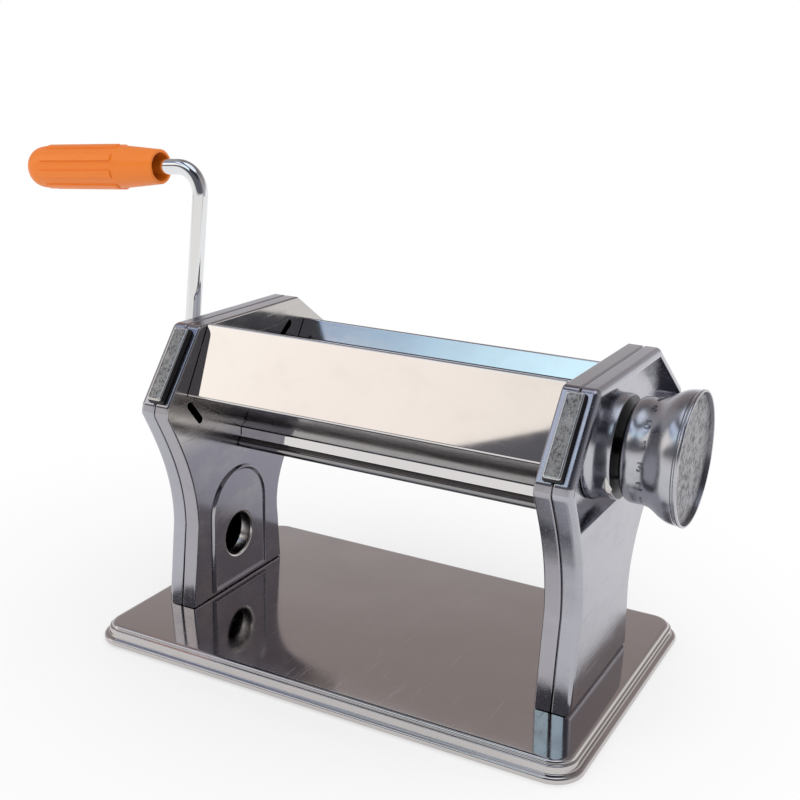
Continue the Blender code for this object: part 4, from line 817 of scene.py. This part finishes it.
def outer_cover(side):
    """The cover pan with its rolled edge, and the pocket for the knob's collar in the right one."""
    steps = quarter(COVER_EDGE, FACE_X - COVER_EDGE, COVER_EDGE - SHEET, 90, 0, 4)
    steps += [(SHEET, COVER_X), (SEAM_ROUND, COVER_X)]
    steps += quarter(SEAM_ROUND, COVER_X + SEAM_ROUND, SEAM_ROUND, -90, 0)[1:]
    steps += quarter(COVER_EDGE, FACE_X - COVER_EDGE, COVER_EDGE, 0, 90, 12)
    cover = pan(side, steps)
    near = COVER_INSIDE_X - MM
    far = FACE_X + MM
    if side < 0:
        tools = [hole_tool(side, (DRIVE_Y, AXIS_Z), DRIVE_HOLE, near, far),
                 hole_tool(side, CLAMP_HOLE, COVER_HOLE_RADIUS, near, far)]
    else:
        shell = [(POCKET_INSET - SHEET + POCKET_DRAFT, POCKET_X - SHEET),
                 (POCKET_INSET - SHEET, FACE_X - SHEET / 2)]
        hollow = [(POCKET_INSET + POCKET_DRAFT, POCKET_X), (POCKET_INSET, FACE_X - POCKET_LIP),
                  (POCKET_INSET - POCKET_LIP * 0.3, FACE_X - POCKET_LIP * 0.3),
                  (POCKET_INSET - POCKET_LIP, FACE_X), (POCKET_INSET - POCKET_LIP, far)]
        cover = joined(cover, pocket(shell))
        tools = [pocket(hollow), hole_tool(side, KNOB_CENTRE, SHAFT_RADIUS + FIT, POCKET_X - 2 * MM, far)]
    name = SIDE_NAMES[side]
    solid = cut(cover, *tools)
    piece(f"{name}_cover_pan", solid, "cover", "body", "satin_steel", f"{name}_outer_cover", sharp=40)


def head_pad(side):
    """The cast pad on the head's front slope: a block with a bright border round a rough top."""
    top = Vector((HEAD_TOP_FRONT_Y, HEAD_TOP_Z))
    slope = (Vector(FRONT_BROW) - top).length
    length = slope * PAD_LENGTH_SHARE
    middle_x = WEB_X + PAD_FROM_WEB + PAD_WIDTH / 2
    name = SIDE_NAMES[side]

    def place(across, along, rise):
        share = PAD_MIDDLE_SHARE + along / slope
        return (side * (middle_x + across), *beside(top, FRONT_BROW, share, -rise))

    def ring(rise, inset, radius):
        outline = rounded_rectangle(PAD_WIDTH / 2 - inset, length / 2 - inset, radius, 6)
        return [place(across, along, rise) for across, along in outline]

    rings = [ring(FIT, 0, 1.2 * MM)]
    edge = quarter(PAD_DRAFT + PAD_EDGE, PAD_HEIGHT - PAD_EDGE, PAD_EDGE, 0, 90, 4)
    rings += [ring(rise, inset, (1.0 - 0.1 * step) * MM) for step, (inset, rise) in enumerate(edge)]
    rings += [ring(PAD_HEIGHT, 1.25 * MM, 0.5 * MM), ring(PAD_HEIGHT - 0.25 * MM, 1.40 * MM, 0.4 * MM)]
    block = piece(f"{name}_pad_body", loft(rings), "bright_border_and_highlight", "body", "dark_steel", f"{name}_head_pad")
    # Painted shade: the pad block's lowest band of side faces gets the near-black finish.
    paint(block, "gap", lambda face: face.index < len(rings[0]))

    columns, rows = 24, 120
    half_x, half_y = PAD_WIDTH / 2 - PAD_BORDER, length / 2 - PAD_BORDER
    rng = random.Random(PAD_SEED[side])
    grid = []
    for row in range(rows + 1):
        along = half_y * (2 * row / rows - 1)
        line = []
        for column in range(columns + 1):
            inside = min(column, columns - column, row, rows - row)
            rise = PAD_HEIGHT - 0.22 * MM + (rng.random() * PAD_GRAIN if inside else 0)
            line.append(place(half_x * (2 * column / columns - 1), along, rise))
        grid.append(line + [place(across, along, PAD_HEIGHT - MM) for across in (half_x, -half_x)])
    rough = loft(grid)
    stride = columns + 3
    upper = [vertex for index, vertex in enumerate(rough.verts)
             if 0 < index % stride < columns and 0 < index // stride < rows]
    axes = {f"use_axis_{axis}": True for axis in "xyz"}
    bmesh.ops.smooth_vert(rough, verts=upper, factor=0.5, **axes)
    piece(f"{name}_pad_top", rough, "pad", "body", "dark_steel", sharp=60)


for frame_side in SIDE_NAMES:
    inner_frame(frame_side)
    outer_cover(frame_side)
    head_pad(frame_side)


# Hoods

def folded_hood(end, corners, inward, material_name):
    """A hood of one sheet folded along an open outline; inward is +1 for its left side."""
    outer = rounded(corners, closed=False)
    inner = shifted(outer, inward * HOOD_SHEET, closed=False)
    sheet = prism(outer + inner[::-1], FIT - WEB_X, WEB_X - FIT)
    return piece(f"{end}_hood_sheet", sheet, material_name, "body", "mirror_sheet", f"{end}_hood")


def hoods():
    """The front and rear hoods, with painted shade on the underside panel and in the rear gap."""
    lip = GUIDE_BAR_Z + GUIDE_BAR_RADIUS + FIT
    start = polar(KNOB_CENTRE, ROLLER_RADIUS + FRONT_LIP_GAP, FRONT_LIP_ANGLE)
    corners = (
        (*start, 0), (*FRONT_APEX, HOOD_BEND), (*FRONT_BEND, HOOD_BEND),
        (GUIDE_BAR_Y, PANEL_END_Z, HOOD_BEND), (GUIDE_BAR_Y, lip, 0),
    )
    hood = folded_hood("front", corners, 1, "hood")
    panel_top = ORIGIN.z + FRONT_BEND[1] + 0.5 * MM
    # Painted shade: the underside panel's downward faces get the dark hood chrome.
    paint(hood, "underside_painted_shade", lambda face: face.normal.z < -0.25 and face.center.z < panel_top)

    start = polar((DRIVE_Y, AXIS_Z), ROLLER_RADIUS + REAR_LIP_GAP, REAR_LIP_ANGLE)
    corners = (
        (*start, 0), (*REAR_KICK, HOOD_BEND), (*REAR_APEX, HOOD_BEND), (*REAR_BEND, HOOD_BEND),
        (REAR_BAR_Y, PANEL_END_Z, HOOD_BEND), (REAR_BAR_Y, lip, 0),
    )
    hood = folded_hood("rear", corners, -1, "rear_hood")
    top = ORIGIN.z + REAR_KICK[1] + 0.3 * MM
    rear = ORIGIN.y + REAR_APEX[0]
    # Painted shade: the upward faces low in the rear hood, in front of its apex, get the near-black
    # finish.
    paint(hood, "gap", lambda face: face.normal.z > 0.1 and face.center.z < top and face.center.y < rear)


hoods()


# Bars

def bars():
    """The four cross bars between the webs, finely turned."""
    places = {
        "front_tie_rod": (FRONT_TIE_ROD, TIE_ROD_RADIUS), "rear_tie_rod": (REAR_TIE_ROD, TIE_ROD_RADIUS),
        "front_guide_bar": ((GUIDE_BAR_Y, GUIDE_BAR_Z), GUIDE_BAR_RADIUS),
        "rear_guide_bar": ((REAR_BAR_Y, GUIDE_BAR_Z), GUIDE_BAR_RADIUS),
    }
    shoulder = WEB_X - FIT
    end = CAVITY_X + FIT + SPIGOT_REACH
    for name, (centre, radius) in places.items():
        half = [(shoulder - BAR_CHAMFER, radius), (shoulder, radius - BAR_CHAMFER),
                (shoulder, SPIGOT_RADIUS), (end, SPIGOT_RADIUS), (end, 0)]
        profile = [(-x, r) for x, r in reversed(half)] + half
        piece(f"{name}_turned", turned(profile, 32, centre=centre), "bar", "body", "turned_steel", name)


bars()


# Knob side

def at_knob(solid):
    """A solid drawn about the X axis, moved onto the knob's axis."""
    return changed(solid, Matrix.Translation((0, *KNOB_CENTRE)))


def darken(thing, x):
    """Painted shade: the near-black finish on the flat end faces that look into the gap between collar and
    knob.
    """
    place = ORIGIN.x + x
    paint(thing, "gap", lambda face: abs(face.normal.x) > 0.95 and abs(face.center.x - place) < 0.1 * MM)


def collar():
    """The collar that stands in the right cover's pocket."""
    shares = ((0.0, 0.985), (0.06, 1.0), (0.18, 0.985), (0.34, 0.945), (0.52, 0.928), (0.94, 0.925),
              (1.0, 0.9))
    length = COLLAR_END_X - COLLAR_X
    outside = smooth([(COLLAR_X + share * length, radius * COLLAR_RADIUS) for share, radius in shares], 6)
    bore = SHAFT_RADIUS + FIT
    hub = bore + COLLAR_HUB_WALL
    floor = COLLAR_END_X - COLLAR_WALL
    inside = [
        (COLLAR_END_X, bore), (COLLAR_X, bore), (COLLAR_X, hub), (floor, hub),
        (floor, outside[-1][1] - COLLAR_WALL), (COLLAR_X, outside[0][1] - COLLAR_WALL),
    ]
    ring = at_knob(turned(outside + inside, closed=True))
    darken(piece("collar_ring", ring, "knob", "body", "mirror_sheet", "knob_collar"), COLLAR_END_X)


def knob():
    """The bell-shaped knob, with a groove by its lip and one index hole for each stop."""
    profile = [
        (0.0, 0.69), (0.012, 0.715), (0.035, 0.742), (0.073, 0.768), (0.13, 0.781), (0.19, 0.785),
        (0.26, 0.783), (0.325, 0.786), (0.385, 0.794), (0.44, 0.81), (0.5, 0.838), (0.555, 0.87),
        (0.612, 0.905), (0.67, 0.935), (0.73, 0.959), (0.785, 0.973), (0.85, 0.982), (0.895, 0.984),
    ]
    groove = [
        (0.905, 0.975), (0.912, 0.958), (0.925, 0.958), (0.932, 0.975), (0.94, 0.99),
        (0.955, 0.998), (0.975, 1.0), (0.99, 0.997), (1.0, 0.988),
    ]

    def scaled(shares):
        return [(KNOB_X + share * KNOB_LENGTH, radius * KNOB_RADIUS) for share, radius in shares]

    outside = smooth(scaled(profile), 3) + scaled(groove)
    seat_x = DISC_X - FIT
    seat_radius = DISC_RADIUS + FIT
    plate_x = KNOB_X + KNOB_PLATE
    back = [
        (KNOB_END_X, seat_radius + 0.1 * MM), (KNOB_END_X - 0.2 * MM, seat_radius), (seat_x, seat_radius),
        (seat_x, seat_radius - 0.8 * MM), (plate_x, KNOB_HOLLOW_RADIUS), (plate_x, SHAFT_RADIUS + FIT),
        (KNOB_X, SHAFT_RADIUS + FIT),
    ]
    holes = []
    for stop in range(STOPS):
        place = polar((0, 0), INDEX_RADIUS, POINTER_ANGLE - STOP_TURN * stop)
        holes.append(prism(circle(place, INDEX_PIN_RADIUS + FIT, 24), KNOB_X - MM, KNOB_X + INDEX_DEPTH))
    bell = at_knob(cut(turned(outside + back, 128, closed=True), *holes))
    darken(piece("knob_bell", bell, "knob", "knob", "mirror_sheet", "regulator_knob"), KNOB_X)


def end_disc():
    """The rough disc in the knob's end."""
    end = DISC_X + DISC_THICKNESS
    bevel = 0.2 * MM
    rings = [(DISC_X, 0), (DISC_X, DISC_RADIUS), (end - bevel, DISC_RADIUS), (end, DISC_RADIUS - bevel)]
    rings += [(end, DISC_RADIUS * share) for share in (0.9, 0.75, 0.6, 0.45, 0.3, 0.15, 0.0)]
    piece("knob_disc", at_knob(turned(rings)), "disc", "knob", "dark_steel", "knob_end_disc")


def pointer():
    """The long diamond on the collar's outside that the numerals are read against."""
    radius = COLLAR_RADIUS * 0.925
    middle_x = COLLAR_X + POINTER_X_SHARE * (COLLAR_END_X - COLLAR_X)
    rows = []
    for step in range(13):
        share = step / 6 - 1
        angle = POINTER_ANGLE - POINTER_LAG + POINTER_HALF_LENGTH / radius * share
        wide = POINTER_HALF_WIDTH * (1 - abs(share)) + 0.05 * MM
        tall = POINTER_HEIGHT * (1 - abs(share))
        section = ((-1, -0.5 * MM), (-1, 0.02 * MM), (-0.5, tall * 0.6), (0, tall), (0.5, tall * 0.6),
                   (1, 0.02 * MM), (1, -0.5 * MM))
        rows.append([(middle_x + wide * across, *polar(KNOB_CENTRE, radius + rise, angle))
                     for across, rise in section])
    piece("collar_pointer", loft(rows), "bright_border_and_highlight", "body", "mirror_sheet", sharp=20)


def numerals():
    """Raised numbers round the knob's neck, one for each stop, read in turn against the pointer."""
    middle_x = KNOB_X + 0.36 * KNOB_LENGTH
    meshes = bmesh.new()
    for stop in range(STOPS):
        text = bpy.data.curves.new("numeral", "FONT")
        text.body = str(stop + 1)
        text.size = NUMERAL_SIZE
        text.extrude = NUMERAL_RISE
        text.bevel_depth = NUMERAL_BEVEL
        text.bevel_resolution = 1
        text.align_x = "CENTER"
        text.align_y = "CENTER"
        thing = linked("numeral", text)
        mesh = bpy.data.meshes.new_from_object(evaluated(thing))
        bpy.data.objects.remove(thing)
        bpy.data.curves.remove(text)
        for vertex in mesh.vertices:
            across, up, out = vertex.co
            turn = POINTER_ANGLE - STOP_TURN * stop - up / NECK_RADIUS
            flare = NECK_FLARE * max(0.0, across / KNOB_LENGTH + 0.06) ** 1.25
            vertex.co = (middle_x + across, *polar(KNOB_CENTRE, NECK_RADIUS + flare + out, turn))
        meshes.from_mesh(mesh)
        bpy.data.meshes.remove(mesh)
    piece("knob_numerals", meshes, "numeral", "knob", "mirror_sheet", sharp=40)


collar()
knob()
end_disc()
pointer()
numerals()


# Crank

def swept(path, sides, radius):
    """A round rod along (x, z, heading) points."""
    rings = []
    for x, z, heading in path:
        across = Vector((-sin(heading), 0, cos(heading)))
        rings.append([Vector((x, y, z)) + across * out for out, y in circle((0, 0), radius, sides)])
    return loft(rings)


def bend_points(centre, start, turn, steps=20):
    """Centre line points (x, z) and headings through one bend."""
    angles = [start + turn * step / steps for step in range(steps + 1)]
    return [(*polar(centre, ROD_BEND, angle), angle + copysign(pi / 2, turn)) for angle in angles]


CRANK_PLACE = Matrix.Translation((0, DRIVE_Y, AXIS_Z)) @ Matrix.Rotation(-ARM_LEAN, 4, "X")
GRIP_PLACE = (CRANK_PLACE @ Matrix.Translation((-ARM_X, 0, ARM_LENGTH))
              @ Matrix.Rotation(-HANDLE_DROOP, 4, "Y"))


def crank_rod():
    """The bent rod: stub in the roller, arm outside the cover, and the handle that droops a little."""
    foot = bend_points((-ARM_X + ROD_BEND, ROD_BEND), -pi / 2, -pi / 2)
    turn = pi / 2 + HANDLE_DROOP
    top = bend_points((-ARM_X - ROD_BEND, ARM_LENGTH - ROD_BEND * tan(turn / 2)), 0, turn)
    reach = GRIP_START + GRIP_LENGTH - GRIP_END_WALL - FIT
    end = polar((-ARM_X, ARM_LENGTH), -reach, HANDLE_DROOP)
    path = [(-STUB_END_X, 0, pi)] + foot + top + [(*end, pi + HANDLE_DROOP)]
    rod = changed(swept(path, 48, ROD_RADIUS), CRANK_PLACE)
    piece("bent_rod", rod, "rod", "drive", "turned_steel", "crank_rod")


def grip_ring(along, radius, rise=0.0):
    """A ring at a way along the grip from its mouth; round-shouldered ribs stand up by a rise."""
    pitch = tau / GRIP_RIBS
    marks = ((-0.245, 0), (-0.232, 0.25), (-0.222, 0.8), (-0.206, 1.0), (-0.1, 1.0), (0, 1.0),
             (0.1, 1.0), (0.206, 1.0), (0.222, 0.8), (0.232, 0.25), (0.245, 0), (0.33, 0), (0.42, 0),
             (0.5, 0), (0.58, 0), (0.67, 0))
    return [(-GRIP_START - along, *polar((0, 0), radius + rise * height, pitch * (rib + share + 0.5)))
            for rib in range(GRIP_RIBS) for share, height in marks]


def crank_grip():
    """The moulded grip: bore and open mouth, smooth taper, ribbed barrel and domed end."""
    bore = ROD_RADIUS + FIT
    rings = [grip_ring(GRIP_LENGTH - GRIP_END_WALL, bore), grip_ring(13 * MM, bore)]
    mouth = ((9.7, 5.5), (0.6, 6.05), (0.15, 6.3), (0, 6.7), (0, 7.1), (0.12, 7.4), (0.4, 7.6), (11, 8.6))
    rings += [grip_ring(along * MM, radius * MM) for along, radius in mouth]
    ends = ((-0.2 * MM, 0), (0, 0), (0.12 * MM, 0.75 * RIB_RISE), (0.4 * MM, RIB_RISE), (3 * MM, RIB_RISE))
    rings += [grip_ring(RIB_START + step, GRIP_RADIUS, rise) for step, rise in ends]
    rings += [grip_ring(RIB_END - step, GRIP_RADIUS, rise) for step, rise in reversed(ends)]
    for step in range(15):
        turn = GRIP_DOME_TURN * step / 14
        out = GRIP_DOME * sin(turn) / sin(GRIP_DOME_TURN)
        rings.append(grip_ring(GRIP_LENGTH - GRIP_DOME + out, GRIP_RADIUS * cos(turn) ** 0.5))
    piece("moulded_grip", changed(loft(rings), GRIP_PLACE), "grip", "grip", "orange_plastic", "crank_grip")


crank_rod()
crank_grip()


# CAD nodes that keep their own shape
SIDES = tuple(SIDE_NAMES.values())
ENDS = ("front", "rear")
NUTS = [f"{end}_{bar}_nut_{side}" for end in ENDS for bar in ("tie_rod", "guide_bar") for side in SIDES]
BEARINGS = [f"rear_roller_bearing_{side}" for side in SIDES] + [f"{side}_shaft_bearing" for side in SIDES]
CARRIED = {
    "roller": ["front_roller", "rear_roller"],
    "gap": ["adjuster_shaft"],
    "zinc": [f"base_screw_{number}" for number in range(1, 5)] + NUTS + [
        "front_gear", "rear_gear", "knob_nut", "grip_washer",
    ],
    "brass": BEARINGS + [f"roller_bush_{side}" for side in SIDES],
    "bar": ["crank_bush", "index_pin"],
    "spring": ["knob_spring"],
    "nylon": ["front_scraper", "rear_scraper"],
    "rubber": [f"rubber_foot_{side}_{end}" for side in SIDES for end in ENDS],
}


def carried_nodes():
    """Better finishes and smooth shading for the CAD nodes that stay."""
    for material_name, names in CARRIED.items():
        for name in names:
            node = nodes[name]
            normals = node.data.attributes.get("custom_normal")
            if normals:
                node.data.attributes.remove(normals)
            node.data.materials.clear()
            node.data.materials.append(MATERIALS[material_name])
            node.data.shade_smooth()
            node.modifiers.new("weld", "WELD").merge_threshold = 0.01 * MM
            node.modifiers.new("edges", "EDGE_SPLIT").split_angle = radians(35)


carried_nodes()


# Studio

def world_light():
    """A soft studio by direction: white behind, a large warm and blue softbox at the left front.

    Glossy rays see the studio, diffuse rays a plain level, and the camera white.
    """
    world = bpy.data.worlds.new("studio")
    bpy.context.scene.world = world
    world.use_nodes = True
    world.node_tree.nodes.clear()
    make = Nodes(world.node_tree)
    ramp, mix = make.ramp, make.mix
    place = make.add("ShaderNodeTexCoord").outputs["Generated"]
    x, y, z = make.add("ShaderNodeSeparateXYZ", Vector=place).outputs
    degrees = 180 / pi
    bearing = make.math("ARCTAN2", make.math("MULTIPLY", x, -1.0), make.math("MULTIPLY", y, -1.0))
    left = make.math("MULTIPLY", bearing, degrees)
    height = make.math("MULTIPLY", make.math("ARCSINE", z), degrees)
    away = make.math("ABSOLUTE", left)

    room = mix(ramp(height, 6, 13), (0.92, 0.90, 0.88), (0.12, 0.12, 0.14))
    room = mix(ramp(height, 40, 52), room, (0.03, 0.03, 0.04))
    side = mix(ramp(away, 60, 100), room, (0.40, 0.39, 0.41))
    paper = mix(ramp(height, 2, 16), (1.0, 1.0, 1.03), (0.56, 0.54, 0.55))
    paper = mix(ramp(height, 16, 30), paper, (0.34, 0.295, 0.29))
    paper = mix(ramp(height, 34, 60), paper, (0.16, 0.15, 0.16))
    back = mix(ramp(away, 100, 130), side, paper)
    warm = mix(ramp(left, 24, 34), (1.14, 1.07, 1.00), (1.24, 1.15, 1.08))
    warm = mix(ramp(left, 34, 46), warm, (1.33, 1.26, 1.17))
    blue = mix(ramp(left, 26, 46), (1.02, 1.42, 1.55), (0.25, 0.34, 0.56))
    blue = mix(ramp(height, 45.5, 48.5), blue, (0.96, 1.06, 1.26))
    softbox = mix(ramp(height, 38.8, 40.2), warm, blue)
    bottom = make.math("ADD", make.math("MULTIPLY", left, -0.64), 51.5)
    width = make.math("MULTIPLY", ramp(left, 12, 16), ramp(left, 84, 70))
    over = make.math("SUBTRACT", height, bottom)
    tall = make.math("MULTIPLY", ramp(over, -0.08, 0.08), ramp(height, 59, 57))
    colour = mix(make.math("MULTIPLY", width, tall), back, softbox)
    colour = mix(ramp(height, 66, 72), colour, (1.05, 1.12, 1.25))
    level = mix(ramp(z, -0.2, 1.0), (0.9, 0.9, 0.92), (1.08, 1.07, 1.06))

    lights = [make.add("ShaderNodeBackground", Color=value).outputs[0]
              for value in (colour, level, (1, 1, 1))]
    path = make.add("ShaderNodeLightPath").outputs
    lit = make.blend(path["Is Diffuse Ray"], lights[0], lights[1])
    make.add("ShaderNodeOutputWorld", Surface=make.blend(path["Is Camera Ray"], lit, lights[2]))


def floor():
    """A plain pale floor that turns white away from the object, and keeps its shadow close to it."""
    reach = 12.0
    mesh = bpy.data.meshes.new("floor")
    corners = [(-reach, -reach, 0), (reach, -reach, 0), (reach, reach, 0), (-reach, reach, 0)]
    mesh.from_pydata(corners, [], [(0, 1, 2, 3)])
    ground = linked("floor", mesh)
    material = bpy.data.materials.new("floor")
    material.use_nodes = True
    material.node_tree.nodes.clear()
    make = Nodes(material.node_tree)
    diffuse = make.add("ShaderNodeBsdfDiffuse", Color=(0.93, 0.93, 0.94)).outputs[0]
    white = make.add("ShaderNodeEmission", Color=(1, 1, 1)).outputs[0]
    place = make.add("ShaderNodeTexCoord").outputs["Object"]
    length = make.add("ShaderNodeVectorMath", operation="LENGTH", _0=place).outputs["Value"]
    fade = make.ramp(length, 0.08, 0.27, 0.58)
    path = make.add("ShaderNodeLightPath").outputs
    seen = make.math("MAXIMUM", path["Is Camera Ray"], make.math("MULTIPLY", path["Is Glossy Ray"], 0.55))
    shader = make.blend(make.math("MULTIPLY", fade, seen), diffuse, white)
    make.add("ShaderNodeOutputMaterial", Surface=shader)
    ground.data.materials.append(material)


def camera():
    """The photograph's view."""
    turn, rise, roll = CAMERA_TURN, CAMERA_RISE, CAMERA_ROLL
    back = Vector((sin(turn) * cos(rise), -cos(turn) * cos(rise), sin(rise)))
    right = Vector((cos(turn), sin(turn), 0))
    up = back.cross(right)
    tilted = cos(roll) * right + sin(roll) * up
    upright = cos(roll) * up - sin(roll) * right
    data = bpy.data.cameras.new("camera")
    data.sensor_width = 36.0
    data.lens = CAMERA_FOCAL_PIXELS / IMAGE_PIXELS * data.sensor_width
    data.clip_start = 0.01
    data.clip_end = 100.0
    thing = linked("camera", data)
    place = BASE_LOW + Vector(CAMERA_PLACE)
    thing.matrix_world = Matrix.Translation(place) @ Matrix((tilted, upright, back)).transposed().to_4x4()
    bpy.context.scene.camera = thing


world_light()
floor()
camera()
bpy.context.scene.view_settings.view_transform = "Standard"
